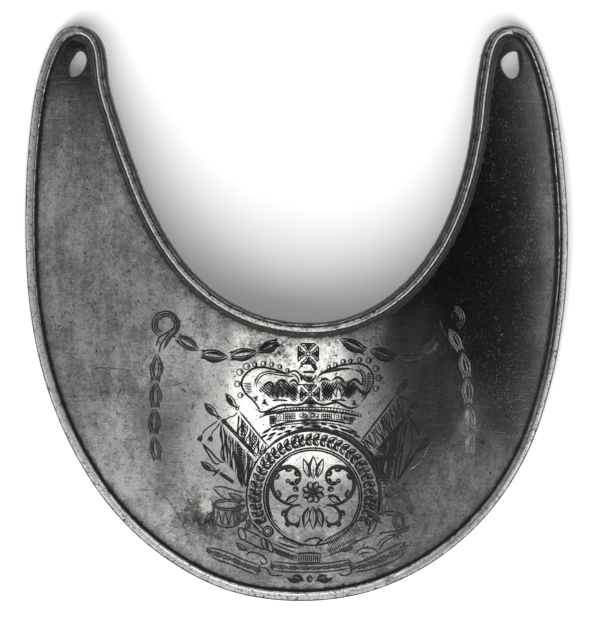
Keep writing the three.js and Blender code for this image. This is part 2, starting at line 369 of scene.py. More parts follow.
def smooth_curve(points, steps, closed=False):
    """Centripetal Catmull-Rom curve: between two points it is the cubic whose end slopes are the
    three-point ones for knots spaced by the square roots of the chords."""
    points = np.asarray(points, float)
    if closed:
        before, start = np.roll(points, 1, 0), points
        after, later = np.roll(points, -1, 0), np.roll(points, -2, 0)
    else:
        ahead = 2 * points[0] - points[1]
        beyond = 2 * points[-1] - points[-2]
        padded = np.vstack([ahead, points, beyond])
        before, start, after, later = padded[:-3], padded[1:-2], padded[2:-1], padded[3:]

    def knot(a, b):
        return np.maximum(np.linalg.norm(b - a, axis=1, keepdims=True) ** 0.5, 1e-3)

    k0, k1, k2 = knot(before, start), knot(start, after), knot(after, later)
    chord = (after - start) / k1
    leave = k1 * ((start - before) / k0 - (after - before) / (k0 + k1) + chord)
    arrive = k1 * (chord - (later - start) / (k1 + k2) + (later - after) / k2)
    t = (np.arange(steps) / steps)[None, :, None]
    curve = (
        (2 * t**3 - 3 * t**2 + 1) * start[:, None]
        + (t**3 - 2 * t**2 + t) * leave[:, None]
        + (3 * t**2 - 2 * t**3) * after[:, None]
        + (t**3 - t**2) * arrive[:, None]
    ).reshape(-1, points.shape[1])
    return curve if closed else np.vstack([curve, points[-1]])


def lengths_along(path):
    """Distance along a path to each of its points."""
    return np.concatenate([[0.0], np.cumsum(np.linalg.norm(np.diff(path, axis=0), axis=1))])


def at_lengths(path, lengths, wanted):
    """Points of a path at the wanted distances along it, linear between its own points."""
    return np.column_stack([np.interp(wanted, lengths, column) for column in path.T])


def smoothstep(low, high, value):
    """3t² - 2t³ of how far a value has come from low to high."""
    t = np.clip((value - low) / (high - low), 0, 1)
    return t * t * (3 - 2 * t)


def unit(vectors):
    """The same vectors at length one."""
    return vectors / np.maximum(np.linalg.norm(vectors, axis=-1, keepdims=True), 1e-12)


class Dome:
    """The sheet: a dome of two radii, leaning back until it rests, with the hammer's unevenness."""

    slope_step = 0.05
    seat_blend = 2.0

    def __init__(self, size):
        self.size = size
        spread = (size.width + size.neck_width) / 4 - size.tip_inset
        tip_y = size.height / 2 - size.tip_radius
        self.horns = [(side, side * spread + size.horn_lean, tip_y) for side in (-1, 1)]
        self.lean = size.horn_lean / tip_y
        reach = next(left for angle, left, _ in OUTER_EDGE if angle == size.foot_angle)
        angle = np.radians(size.foot_angle)
        lower = np.array([
            -reach * size.width / 2 * np.sin(angle), -reach * size.height / 2 * np.cos(angle)])
        horn = np.array(self.horns[0][1:])
        slope = np.array(self.slope(*horn))
        upper = horn + size.tip_radius * slope / np.hypot(*slope)
        self.lean_back = (self.drop(*upper) - self.drop(*lower)) / (upper[1] - lower[1])

    def drop(self, x, y):
        """Square of the distance across over twice one radius, and up the plate over the other."""
        across = x - self.lean * y
        up = y - self.size.crown_rise
        return across**2 / (2 * self.size.dome_across) + up**2 / (2 * self.size.dome_along)

    def slope(self, x, y):
        """How fast the drop grows across and up the plate."""
        across = (x - self.lean * y) / self.size.dome_across
        return across, (y - self.size.crown_rise) / self.size.dome_along - self.lean * across

    def height(self, x, y):
        """The leaning plane less the drop, plus the hammer waves, less a bell for each dent."""
        z = self.lean_back * y - self.drop(x, y)
        for wavelength, heading, high, phase in HAMMER_WAVES:
            turn = np.radians(heading)
            along = x * np.cos(turn) + y * np.sin(turn)
            z = z + high * np.sin(2 * np.pi * along / wavelength + phase)
        for dent_x, dent_y, radius, deep in DENTS:
            z = z - deep * np.exp(-((x - dent_x) ** 2 + (y - dent_y) ** 2) / radius**2)
        return z

    def normal(self, x, y):
        """Square to the sheet, from its slopes over a short step."""
        step = self.slope_step
        along_x = (self.height(x + step, y) - self.height(x - step, y)) / (2 * step)
        along_y = (self.height(x, y + step) - self.height(x, y - step)) / (2 * step)
        return unit(np.stack([-along_x, -along_y, np.ones_like(along_x)], -1))

    def raised(self, x, y, rise):
        """Points lifted off the sheet along its normal."""
        rise = np.broadcast_to(rise, np.shape(x))
        return np.stack([x, y, self.height(x, y)], -1) + rise[..., None] * self.normal(x, y)

    def back(self, x, y, depth):
        """Points of the back, pressed onto a flat land round each ribbon hole."""
        points = self.raised(x, y, -depth)
        for _, horn_x, horn_y in self.horns:
            hole = np.array([horn_x, horn_y - self.size.hole_drop])
            normal = self.normal(*hole)
            centre = self.raised(*hole, -self.size.thickness)
            away = np.hypot(x - hole[0], y - hole[1])
            land_edge = self.size.seat_radius
            land = 1 - smoothstep(land_edge, land_edge + self.seat_blend, away)
            off_plane = (points - centre) @ normal
            points = points - (land * off_plane)[..., None] * normal
        return points


def edge_point(row, side, centre_y, half_across, drop):
    """A point of an edge, from its table's row."""
    angle, left, right = row
    reach = left if side < 0 else right
    turn = np.radians(angle)
    return (side * reach * half_across * np.sin(turn), centre_y - reach * drop * np.cos(turn))


def outline_points(dome):
    """The edge's guide points, anticlockwise from the bottom."""
    size = dome.size
    outer_size = (0, size.width / 2, size.height / 2)
    neck_size = (size.neck_centre, size.neck_width / 2, size.neck_drop)

    def outer(side):
        return [edge_point(row, side, *outer_size) for row in OUTER_EDGE[1:]]

    def neck(side):
        return [edge_point(row, side, *neck_size) for row in NECK_EDGE[1:]]

    def tip(horn):
        side, x, y = horn
        turn = np.radians(np.linspace(180 - size.outer_taper, size.neck_taper, 5))
        across = np.cos(turn) * (1 if side < 0 else -1)
        return [(x + size.tip_radius * c, y + size.tip_radius * s)
                for c, s in zip(across, np.sin(turn))]

    left_horn, right_horn = dome.horns
    return [
        edge_point(OUTER_EDGE[0], 1, *outer_size),
        *outer(1), *tip(right_horn), *neck(1)[::-1],
        edge_point(NECK_EDGE[0], 1, *neck_size),
        *neck(-1), *tip(left_horn)[::-1], *outer(-1)[::-1],
    ]


class Outline:
    """Stations round the edge: the outer side from the left horn's top to the right one's, then
    the neck edge back. Each has its place, the way inwards and how far it is neck moulding."""

    spacing = 0.62
    mitre = 5.0
    tangent_step = 0.3
    curve_steps = 60

    def __init__(self, dome):
        path = smooth_curve(outline_points(dome), self.curve_steps, closed=True)
        tops = [np.argmax(np.where(np.sign(path[:, 0]) == side, path[:, 1], -1e9))
                for side in (-1, 1)]
        path = np.roll(path, -tops[0], axis=0)
        path = np.vstack([path, path[0]])
        along = lengths_along(path)
        whole = along[-1]
        turning = along[(tops[1] - tops[0]) % (len(path) - 1)]
        wanted = np.concatenate([
            np.linspace(0, turning, int(turning / self.spacing), endpoint=False),
            np.linspace(turning, whole, int((whole - turning) / self.spacing), endpoint=False),
        ])
        self.place = at_lengths(path, along, wanted)
        ahead = at_lengths(path, along, (wanted + self.tangent_step) % whole)
        behind = at_lengths(path, along, (wanted - self.tangent_step) % whole)
        tangent = unit(ahead - behind)
        self.inward = np.column_stack([-tangent[:, 1], tangent[:, 0]])
        into_neck = np.where(
            wanted > turning,
            np.minimum(wanted - turning, whole - wanted),
            -np.minimum(turning - wanted, wanted),
        )
        self.moulded = smoothstep(-self.mitre / 2, self.mitre / 2, into_neck)

    def inset(self, distance):
        """The stations' places moved inwards."""
        return self.place + self.inward * np.broadcast_to(distance, self.moulded.shape)[:, None]


class Mesh:
    """Patches of one mesh as whole arrays. Points are in mm. Each point carries its normal, its
    place on the flat map, its dirt with any painted shade and its polish with any painted
    highlight; each face may carry its own normal and cut."""

    def __init__(self):
        self.points, self.normals, self.maps, self.marks = [], [], [], []
        self.faces, self.face_cuts, self.own_normal = [], [], []
        self.count = 0

    def add_points(self, points, normals, maps, dirt, polish_and_painted_highlight):
        """Adds points and returns the index of each."""
        first = self.count
        self.points.append(points)
        self.normals.append(normals)
        self.maps.append(maps)
        marks = [np.broadcast_to(mark, len(points)) for mark in (dirt, polish_and_painted_highlight)]
        self.marks.append(np.column_stack(marks))
        self.count += len(points)
        return np.arange(first, self.count)

    def add_faces(self, corners, cuts=0.0, own_normal=False):
        """Adds faces of three or four corners each."""
        self.faces.append(corners)
        self.face_cuts.append(np.broadcast_to(cuts, len(corners)))
        self.own_normal.append(np.broadcast_to(own_normal, len(corners)))

    def add_rings(self, rings):
        """Joins closed rings of points, each with as many as the next, by quads."""
        for inner, outer in zip(rings[:-1], rings[1:]):
            self.add_faces(np.column_stack([
                inner, np.roll(inner, -1), np.roll(outer, -1), outer]))

    def build(self, name, shift):
        """Makes the object: corners take their point's normal, or their face's own in a cut."""
        points = np.vstack(self.points) + shift
        maps = np.vstack(self.maps)
        marks = np.vstack(self.marks)
        counts = np.concatenate([np.full(len(f), f.shape[1]) for f in self.faces])
        corners = np.concatenate([f.ravel() for f in self.faces])
        starts = np.concatenate([[0], np.cumsum(counts)[:-1]])
        me = bpy.data.meshes.new(name)
        me.vertices.add(len(points))
        me.vertices.foreach_set("co", (points * MM).ravel())
        me.loops.add(len(corners))
        me.loops.foreach_set("vertex_index", corners.astype(np.int32))
        me.polygons.add(len(counts))
        me.polygons.foreach_set("loop_start", starts.astype(np.int32))
        me.update(calc_edges=True)
        me.polygons.foreach_set("use_smooth", np.ones(len(counts), bool))
        flat = np.empty(len(counts) * 3, np.float32)
        me.polygons.foreach_get("normal", flat)
        own = np.repeat(np.concatenate(self.own_normal), counts)
        smooth = np.vstack(self.normals)[corners]
        facing = np.where(own[:, None], np.repeat(flat.reshape(-1, 3), counts, axis=0), smooth)
        # The dirt attribute also holds painted shade, and the polish attribute painted highlight
        for key, domain, values in (
            ("cut", "FACE", np.concatenate(self.face_cuts)),
            ("dirt", "POINT", marks[:, 0]),
            ("polish_and_painted_highlight", "POINT", marks[:, 1]),
        ):
            layer = me.attributes.new(key, "FLOAT", domain)
            layer.data.foreach_set("value", values.astype(np.float32))
        layer = me.uv_layers.new(name="OFBake", do_init=False)
        layer.uv.foreach_set("vector", maps[corners].astype(np.float32).ravel())
        me.normals_split_custom_set(facing)
        piece = bpy.data.objects.new(name, me)
        bpy.context.scene.collection.objects.link(piece)
        return piece


def inside(points, loop):
    """Whether each point is inside a closed loop: a line from it crosses an odd number of sides."""
    start, end = loop, np.roll(loop, -1, axis=0)
    rise = end[:, 1] - start[:, 1]
    slant = (end[:, 0] - start[:, 0]) / np.where(rise == 0, 1e-9, rise)
    found = []
    for block in np.array_split(points, max(1, len(points) // 8000)):
        x, y = block[:, :1], block[:, 1:]
        spans = (start[:, 1] > y) != (end[:, 1] > y)
        crosses = spans & (x < start[:, 0] + (y - start[:, 1]) * slant)
        found.append(crosses.sum(1) % 2 == 1)
    return np.concatenate(found)


def away_from(points, others):
    """Distance from each point to the nearest of the others."""
    found = []
    for block in np.array_split(points, max(1, len(points) // 2000)):
        found.append(np.linalg.norm(block[:, None] - others[None], axis=2).min(1))
    return np.concatenate(found)


class Engraver:
    """Collects cuts. A cut is a path with a half width at each of its points; its floor is a
    valley that is deepest on the path and meets the plate at the half width."""

    step = 0.6
    curve_steps = 12
    narrowest_half = 0.02
    point = 0.12
    blunt_start = 0.08

    def __init__(self, cuts):
        self.cuts = cuts
        self.paths, self.halves, self.tones, self.closed = [], [], [], []

    def cut(self, points, width, swell="even", tone=1.0, closed=False, bent=True):
        """Adds one cut along a curve through the points, or along straight lines between them.
        Its width is even up to its points, swells to the middle like a sine, or fades away."""
        path = np.asarray(points, float)
        if bent:
            path = smooth_curve(points, self.curve_steps, closed)
        if closed:
            path = np.vstack([path, path[0]])
        along = lengths_along(path)
        count = max(int(np.ceil(along[-1] / self.step)), 8 if bent else 3)
        share = np.linspace(0, 1, count + 1)
        path = at_lengths(path, along, share * along[-1])
        ends = np.minimum(share, 1 - share)
        profile = {
            "even": np.minimum(1, ends / self.point) ** 0.7,
            "swell": np.sin(np.pi * share) ** 0.8,
            "fade": (1 - share) ** 0.8 * np.minimum(1, share / self.blunt_start),
            "full": np.ones_like(share),
        }["full" if closed else swell]
        half = np.maximum(profile * width / 2, self.narrowest_half)
        if closed:
            path, half = path[:-1], half[:-1]
        self.paths.append(path)
        self.halves.append(half)
        self.tones.append(tone)
        self.closed.append(closed)

    def circle(self, centre, radius, width, tone=1.0):
        """A closed round cut."""
        count = max(10, int(2 * np.pi * radius / self.step))
        turn = np.linspace(0, 2 * np.pi, count, endpoint=False)
        ring = np.asarray(centre) + radius * np.column_stack([np.cos(turn), np.sin(turn)])
        self.paths.append(ring)
        self.halves.append(np.full(count, width / 2))
        self.tones.append(tone)
        self.closed.append(True)

    def arc(self, centre, radius, start, end, width, swell="even", tone=1.0):
        """A cut along part of a circle, between two angles in degrees."""
        turn = np.radians(np.linspace(start, end, 9))
        path = np.asarray(centre) + radius * np.column_stack([np.cos(turn), np.sin(turn)])
        self.cut(path, width, swell, tone)

    def chains(self):
        """Each cut's two edges and its path, for the triangles to follow."""
        for path, half, closed in zip(self.paths, self.halves, self.closed):
            if closed:
                along = np.roll(path, -1, 0) - np.roll(path, 1, 0)
            else:
                along = np.gradient(path, axis=0)
            along = unit(along)
            across = np.column_stack([-along[:, 1], along[:, 0]]) * half[:, None]
            for side in (-1, 0, 1):
                yield path + side * across, closed

    def depths(self, points):
        """How deep the deepest cut is at each point, and its tone: the full depth on the path,
        falling evenly to nothing at the half width."""
        depth = np.zeros(len(points))
        tone = np.zeros(len(points))
        order = np.argsort(points[:, 0])
        ordered = points[order, 0]
        for path, half, shade, closed in zip(self.paths, self.halves, self.tones, self.closed):
            low, high = path.min(0) - half.max(), path.max(0) + half.max()
            near = order[slice(*np.searchsorted(ordered, (low[0], high[0])))]
            near = near[(points[near, 1] >= low[1]) & (points[near, 1] <= high[1])]
            if not len(near):
                continue
            if closed:
                path, half = np.vstack([path, path[0]]), np.append(half, half[0])
            start, step = path[:-1], np.diff(path, axis=0)
            offset = points[near, None] - start
            share = np.clip((offset * step).sum(2) / (step**2).sum(1), 0, 1)
            away = np.linalg.norm(offset - share[..., None] * step, axis=2)
            wide = half[:-1] + share * np.diff(half)
            peak = np.minimum(self.cuts.deepest, self.cuts.steepness * wide)
            cut = (peak * (1 - away / wide)).max(1)
            deeper = cut > depth[near]
            depth[near[deeper]] = cut[deeper]
            tone[near[deeper]] = shade
        return depth, tone


def triangulated(loops, chains, free):
    """Constrained Delaunay triangles over closed loops, chains of points and free points.
    The loops' points come first in the result, in their order."""
    points, edges = [], []
    count = 0
    for path, closed in [(loop, True) for loop in loops] + list(chains):
        index = np.arange(count, count + len(path))
        pairs = np.column_stack([index, np.roll(index, -1)])
        points.append(path)
        edges.append(pairs if closed else pairs[:-1])
        count += len(path)
    points.append(free)
    found = delaunay_2d_cdt(
        [Vector(point) for point in np.vstack(points).tolist()],
        np.vstack(edges).tolist(), [], 0, SAME_POINT, False)
    return np.array(found[0]), np.array(found[2])


def hexagonal(low, high, pitch):
    """Points a pitch apart in rows, every other row moved by half a pitch."""
    rows = np.arange(low[1], high[1], pitch * np.sqrt(3) / 2)
    across = np.arange(low[0], high[0], pitch)
    x = across[None, :] + pitch / 2 * (np.arange(len(rows)) % 2)[:, None]
    return np.column_stack([x.ravel(), np.repeat(rows, len(across))])


def hole_outlines(dome, count=44):
    """Each ribbon hole's edge as a closed curve, clockwise, with the way out of the hole."""
    outlines = []
    angles, left, right = np.array(RIBBON_HOLE_EDGE).T
    turn = np.radians(angles)
    for side, horn_x, horn_y in dome.horns:
        reach = (left if side < 0 else right) * dome.size.hole_length / 2
        guide = np.column_stack([reach * np.sin(turn), reach * np.cos(turn)])
        curve = smooth_curve(guide, 20, closed=True)
        curve = np.vstack([curve, curve[0]])
        along = lengths_along(curve)
        edge = at_lengths(curve, along, np.linspace(0, along[-1], count, endpoint=False))
        tangent = unit(np.roll(edge, -1, 0) - np.roll(edge, 1, 0))
        outward = np.column_stack([-tangent[:, 1], tangent[:, 0]])
        centre = np.array([horn_x, horn_y - dome.size.hole_drop])
        outlines.append((edge + centre, outward))
    return outlines


def grid_normals(rings):
    """Normals of closed rings of points: the cross product of the steps along and between them."""
    grid = np.stack(rings)
    along = np.roll(grid, -1, 1) - np.roll(grid, 1, 1)
    between = np.gradient(grid, axis=0)
    return unit(np.cross(along, between))


class FlatMap:
    """Where the surface lies on the OFBake map's square: the front fills it, and the back lies at
    half the size in the neck opening. Near the edge both are drawn outwards, so that its steep
    walls have room too."""

    margin = 2.0
    back_share = 0.46
    back_at = (-0.8, 31.5)

    # How far each is drawn outwards at its edge, in mm, and how fast that ends over the bead
    back_wall = 0.8
    front_wall = 1.2
    front_wall_fall = 8

    def __init__(self, size):
        self.span = size.height + 2 * self.margin

    def front(self, places):
        """The place over the square's span, from its middle."""
        return places / self.span + 0.5

    def back(self, places):
        """The same for a place made smaller and moved into the neck opening."""
        return (places * self.back_share + np.array(self.back_at)) / self.span + 0.5


def marks_at(table, places):
    """The sum of the table's bells at each place: each falls off with the square of the distance
    over its radius."""
    total = np.zeros(len(places))
    for x, y, radius, amount in table:
        away = np.hypot(places[:, 0] - x, places[:, 1] - y)
        total += amount * np.exp(-(away / radius) ** 2)
    return np.clip(total, 0, 1)


def section_rows(rows_between=3):
    """The rims' section with more rows: a curve through the table's rows."""
    return smooth_curve(np.array(RIM_SECTION), rows_between)


def field_inset(size):
    """How far the front and back fields start inside the edge: at the wider rim's inner side."""
    return max(RIM_SECTION[-1][0] * size.bead_width, size.moulding_width)


def add_rims(mesh, dome, outline, flat):
    """The edge, as rings of stations from the back field round to the front field. A ring is the
    outline moved inwards and raised off the dome. Over the front both amounts are the bead's and
    the moulding's, mixed by how far each station is neck moulding."""
    size = dome.size
    inset = field_inset(size)
    rings, maps, dirt, polish_and_painted_highlight = [], [], [], []
    for distance, depth, wall in (
        (inset, size.thickness, 0.0),
        (size.back_round, size.thickness, 0.0),
        (0.0, size.thickness - size.back_round, flat.back_wall),
    ):
        place = outline.inset(distance)
        rings.append(dome.back(place[:, 0], place[:, 1], depth))
        maps.append(flat.back(outline.inset(distance - wall)))
        dirt.append(BACK_DIRT)
        polish_and_painted_highlight.append(0.0)

    def mixed(bead, neck, bead_size=1, neck_size=1):
        return (1 - outline.moulded) * bead * bead_size + outline.moulded * neck * neck_size

    for bead_in, bead_up, bead_dirt_and_shade, neck_in, neck_up, neck_dirt_and_shade in section_rows():
        distance = mixed(bead_in, neck_in, size.bead_width, size.moulding_width)
        rise = mixed(bead_up, neck_up, size.bead_height, size.moulding_height)
        place = outline.inset(distance)
        rings.append(dome.raised(place[:, 0], place[:, 1], rise))
        wall = max(0.0, flat.front_wall - flat.front_wall_fall * max(bead_in, 0.0))
        maps.append(flat.front(outline.inset(distance - wall)))
        # The section's darkness: dirt in the grooves, painted shade in the valleys beside them,
        # darker at the very edge
        dirt.append(mixed(bead_dirt_and_shade, neck_dirt_and_shade))
        ridge = mixed(bead_up, neck_up) - POLISHED_ABOVE
        polish_and_painted_highlight.append(np.clip(ridge / (1 - POLISHED_ABOVE), 0, 1))
    normals = grid_normals(rings)
    field_edge = outline.inset(inset)
    normals[-1] = dome.normal(field_edge[:, 0], field_edge[:, 1])
    normals[0] = -normals[-1]
    added = [mesh.add_points(*ring) for ring in zip(rings, normals, maps, dirt, polish_and_painted_highlight)]
    mesh.add_rings(added)
    return added[0], added[-1]


def add_hole(mesh, dome, flat, edge, outward):
    """The wall of one ribbon hole, as rings from the back field through to the front field: the
    hole's edge moved outwards, at each row's share of the sheet's depth."""
    thickness = dome.size.thickness
    rings, maps, dirt = [], [], []
    for out, deep, rise, dark in HOLE_SECTION:
        place = edge + outward * out
        if deep == 1.0:
            rings.append(dome.back(place[:, 0], place[:, 1], thickness))
            maps.append(flat.back(place))
        else:
            rings.append(dome.raised(place[:, 0], place[:, 1], rise - deep * thickness))
            maps.append(flat.front(place - outward * deep))
        dirt.append(dark)
    normals = grid_normals(rings)
    back_loop = edge + outward * HOLE_SECTION[0][0]
    front_loop = edge + outward * HOLE_SECTION[-1][0]
    normals[-1] = dome.normal(front_loop[:, 0], front_loop[:, 1])
    added = [mesh.add_points(*ring, 0.0) for ring in zip(rings, normals, maps, dirt)]
    mesh.add_rings(added)
    return (back_loop, added[0]), (front_loop, added[-1])


def field_triangles(field_edge, holes, pitch, chains):
    """Triangles over a field, between its edge and the holes' loops: Delaunay ones over the loops,
    the chains and even rows of free points, less those outside the field or inside a hole."""
    free = hexagonal(field_edge.min(0), field_edge.max(0), pitch)
    free = free[inside(free, field_edge)]
    free = free[away_from(free, np.vstack([field_edge] + holes)) > CLEARANCE * pitch]
    for loop in holes:
        free = free[~inside(free, loop)]
    places, triangles = triangulated([field_edge] + holes, chains, free)
    middles = places[triangles].mean(1)
    kept = inside(middles, field_edge)
    for loop in holes:
        kept &= ~inside(middles, loop)
    return places, triangles[kept], middles[kept]


def build_plate(size, engraver):
    """The plate as one closed mesh: rings round the edge and through the holes, and two fields of
    triangles between them. The cuts are pressed into the front field by their depth."""
    dome = Dome(size)
    outline = Outline(dome)
    flat = FlatMap(size)
    mesh = Mesh()
    field_edge = outline.inset(field_inset(size))
    back_edge, front_edge = add_rims(mesh, dome, outline, flat)
    holes = [add_hole(mesh, dome, flat, *hole) for hole in hole_outlines(dome)]

    front_loops = [front_loop for _, (front_loop, _) in holes]
    front_known = np.concatenate([front_edge] + [ring for _, (_, ring) in holes])
    places, triangles, middles = field_triangles(
        field_edge, front_loops, FRONT_PITCH, list(engraver.chains()))
    here = places[len(front_known):]
    x, y = here.T
    depth, _ = engraver.depths(here)
    # The front field's dirt is real stains and painted shade; its polish is rubbed places and
    # painted highlight
    added = mesh.add_points(
        dome.raised(x, y, -depth), dome.normal(x, y), flat.front(here), marks_at(STAINS_AND_PAINTED_SHADE, here),
        marks_at(RUBBED_AND_PAINTED_HIGHLIGHT, here))
    middle_depth, middle_tone = engraver.depths(middles)
    in_cut = middle_depth > SHALLOWEST_CUT
    index = np.concatenate([front_known, added])
    mesh.add_faces(index[triangles[~in_cut]])
    mesh.add_faces(index[triangles[in_cut]], middle_tone[in_cut], True)

    back_loops = [back_loop for (back_loop, _), _ in holes]
    back_known = np.concatenate([back_edge] + [ring for (_, ring), _ in holes])
    places, triangles, _ = field_triangles(field_edge, back_loops, BACK_PITCH, [])
    here = places[len(back_known):]
    x, y = here.T
    added = mesh.add_points(
        dome.back(x, y, size.thickness), -dome.normal(x, y), flat.back(here), 0.0, 0.0)
    index = np.concatenate([back_known, added])
    mesh.add_faces(index[triangles[:, ::-1]])

    low, high = (np.array(corner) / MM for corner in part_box(NODE))
    points = np.vstack(mesh.points)
    shift = (low + high) / 2 - (points.min(0) + points.max(0)) / 2
    shift[2] = low[2] - points[:, 2].min()
    return mesh.build("engraved_plate", shift)


def spread(points, count):
    """Places shared out evenly along a curve through the points."""
    curve = smooth_curve(points, 16) if len(points) > 2 else np.asarray(points, float)
    along = lengths_along(curve)
    return at_lengths(curve, along, np.linspace(0, along[-1], count))


def hatch(engraver, side_a, side_b, count, width, tone=1.0, swell="even"):
    """Straight cuts that join two edges, shared out evenly along both."""
    for a, b in zip(spread(side_a, count), spread(side_b, count)):
        engraver.cut([a, b], width, swell, tone, bent=False)


def heading_of(degrees):
    """One step in a direction, and the step to the left of it."""
    turn = np.radians(degrees)
    along = np.array([np.cos(turn), np.sin(turn)])
    return along, left_of(along)


def left_of(way):
    """A way in the plane, turned a quarter to the left."""
    return np.array([-way[1], way[0]])


def ellipse(centre_x, centre_y, half_wide, half_high, tilt=0.0):
    """Twelve points round an ellipse that is turned by its tilt in degrees."""
    turn = np.radians(np.linspace(0, 360, 13))[:-1]
    lean = np.radians(tilt)
    across, up = half_wide * np.cos(turn), half_high * np.sin(turn)
    return np.column_stack([
        centre_x + across * np.cos(lean) - up * np.sin(lean),
        centre_y + across * np.sin(lean) + up * np.cos(lean),
    ])


# A shading cut shorter than this many of its widths is left out
SHORTEST_SHADE = 1.3


def shaded(engraver, polygon, heading, spacing, width, tone=1.0):
    """Straight cuts in one heading over a polygon: the polygon is turned so that the cuts lie
    level, and the places where its sides cross each level are joined in pairs."""
    along, across = heading_of(heading)
    corners = np.asarray(polygon, float) @ np.column_stack([along, across])
    following = np.roll(corners, -1, 0)
    for level in np.arange(corners[:, 1].min() + spacing / 2, corners[:, 1].max(), spacing):
        crossed = (corners[:, 1] > level) != (following[:, 1] > level)
        a, b = corners[crossed], following[crossed]
        places = np.sort(a[:, 0] + (level - a[:, 1]) * (b - a)[:, 0] / (b - a)[:, 1])
        for low, high in zip(places[::2], places[1::2]):
            if high - low > SHORTEST_SHADE * width:
                ends = [low * along + level * across, high * along + level * across]
                engraver.cut(ends, width, "even", tone, bent=False)


def draw_lines(engraver, rows, tone=1.0):
    """One cut for each row: its width, its swell and its guide points."""
    for width, swell, points in rows:
        engraver.cut(points, width, swell, tone)


# A leaf: how far along it is widest, how broad its shade is beside the usual one, and its rib
LEAF_BELLY = 0.45
LEAF_SHADE = 0.75
LEAF_RIB = (0.1, 0.7)


def leaf(engraver, start, end, wide, shade_side, tone=1.0):
    """A small leaf: a thin side, a shaded side and a rib."""
    cuts = engraver.cuts
    start, end = np.asarray(start, float), np.asarray(end, float)
    along = end - start
    across = left_of(along) / np.linalg.norm(along) * wide / 2
    styles = {shade_side: (cuts.shade * LEAF_SHADE, "swell"), -shade_side: (cuts.fine, "even")}
    for side in (-1, 1):
        belly = start + LEAF_BELLY * along + side * across
        engraver.cut([start, belly, end], *styles[side], tone)
    rib = [start + share * along for share in LEAF_RIB]
    engraver.cut(rib, cuts.fine, "fade", tone)


def husk(engraver, start, end, wide, shade_side, tone=1.0):
    """One husk of a garland, pointed at both ends: two bulging sides, a narrow lens inside them,
    a swelling shade along one side and two short lines at the far end."""
    cuts = engraver.cuts
    start, end = np.asarray(start, float), np.asarray(end, float)
    along = end - start
    across = left_of(along) / np.linalg.norm(along) * wide
    weight = 0.4 + 0.6 * tone
    broad = cuts.shade if tone > 0.5 else cuts.fine

    def line(width, swell, *shares):
        engraver.cut(
            [start + a * along + b * across for a, b in shares], weight * width, swell, tone)

    for side in (-1, 1):
        line(cuts.line, "even", (0, 0), (0.2, 0.27 * side), (0.5, 0.47 * side),
             (0.8, 0.36 * side), (1.0, 0.06 * side))
        line(cuts.fine, "even", (0.1, 0.0), (0.4, 0.15 * side), (0.7, 0.15 * side), (0.98, 0.0))
        line(cuts.line, "swell", (0.78, 0.34 * side), (1.04, 0.32 * side))
    side = shade_side
    line(broad, "swell", (0.08, 0.10 * side), (0.3, 0.33 * side), (0.55, 0.43 * side),
         (0.8, 0.30 * side), (0.96, 0.08 * side))
    line(cuts.line, "swell", (0.15, -0.12 * side), (0.5, -0.30 * side), (0.85, -0.16 * side))


# The husks of the two swags and the two drops
HUSKS = [
    # point x, y, blunt end x, y, width, shaded side, tone
    (-21.7, -8.1, -26.5, -5.2, 2.5, -1, 0.9),
    (-15.3, -9.7, -21.3, -8.9, 2.6, 1, 1.0),
    (-8.9, -8.5, -14.9, -9.4, 2.6, 1, 1.0),
    (-8.8, -8.5, -4.1, -6.2, 2.3, -1, 1.0),
    (9.2, -5.6, 14.9, -8.3, 2.4, -1, 1.0),
    (15.8, -8.0, 21.3, -9.8, 2.6, -1, 1.0),
    (21.7, -9.7, 27.3, -9.3, 2.5, -1, 0.9),
    (27.3, -9.1, 30.6, -6.2, 2.3, -1, 0.8),
    (-30.9, -8.9, -31.3, -15.0, 2.7, 1, 0.9),
    (-31.2, -15.2, -31.4, -20.8, 2.6, 1, 0.9),
    (-31.5, -20.9, -31.7, -26.6, 2.6, 1, 0.9),
    (-31.8, -27.1, -31.0, -32.4, 2.4, 1, 0.9),
    (33.3, -3.4, 35.8, -8.1, 2.2, 1, 0.3),
    (36.1, -8.6, 37.3, -14.0, 2.4, 1, 0.3),
    (37.2, -14.1, 37.6, -19.8, 2.4, 1, 0.3),
    (37.6, -20.1, 38.3, -25.6, 2.3, 1, 0.3),
    (38.2, -26.2, 38.0, -31.0, 2.1, 1, 0.3),
]


def draw_garlands(engraver):
    """The husk swags and drops, and the rings they hang from."""
    cuts = engraver.cuts
    for x0, y0, x1, y1, wide, side, tone in HUSKS:
        husk(engraver, (x0, y0), (x1, y1), wide, side, tone)
    left, right = (-29.0, -2.5), (34.0, -1.1)
    for radius in (3.0, 2.45, 1.95):
        engraver.arc(left, radius, -70, 250, cuts.line, tone=0.9)
    engraver.arc(left, 2.75, -80, 80, 1.0, "swell", 0.9)
    for radius in (2.7, 2.2, 1.7):
        engraver.arc(right, radius, -60, 85, 0.22, tone=0.2)
    draw_lines(engraver, (
        (cuts.line, "even", [(-27.2, -3.0), (-28.8, -4.3), (-30.4, -5.2), (-31.2, -7.4)]),
        (cuts.line, "even", [(-27.6, -3.6), (-28.6, -4.8), (-29.9, -6.4), (-30.6, -8.8)]),
        (0.9, "swell", [(-27.0, -4.2), (-28.3, -5.6), (-29.6, -8.0)]),
        (cuts.fine, "even", [(-26.5, -5.4), (-27.6, -5.0), (-28.4, -6.2)]),
        (cuts.fine, "even", [(31.2, -1.2), (31.9, -3.6), (33.2, -5.6)]),
    ), 0.9)


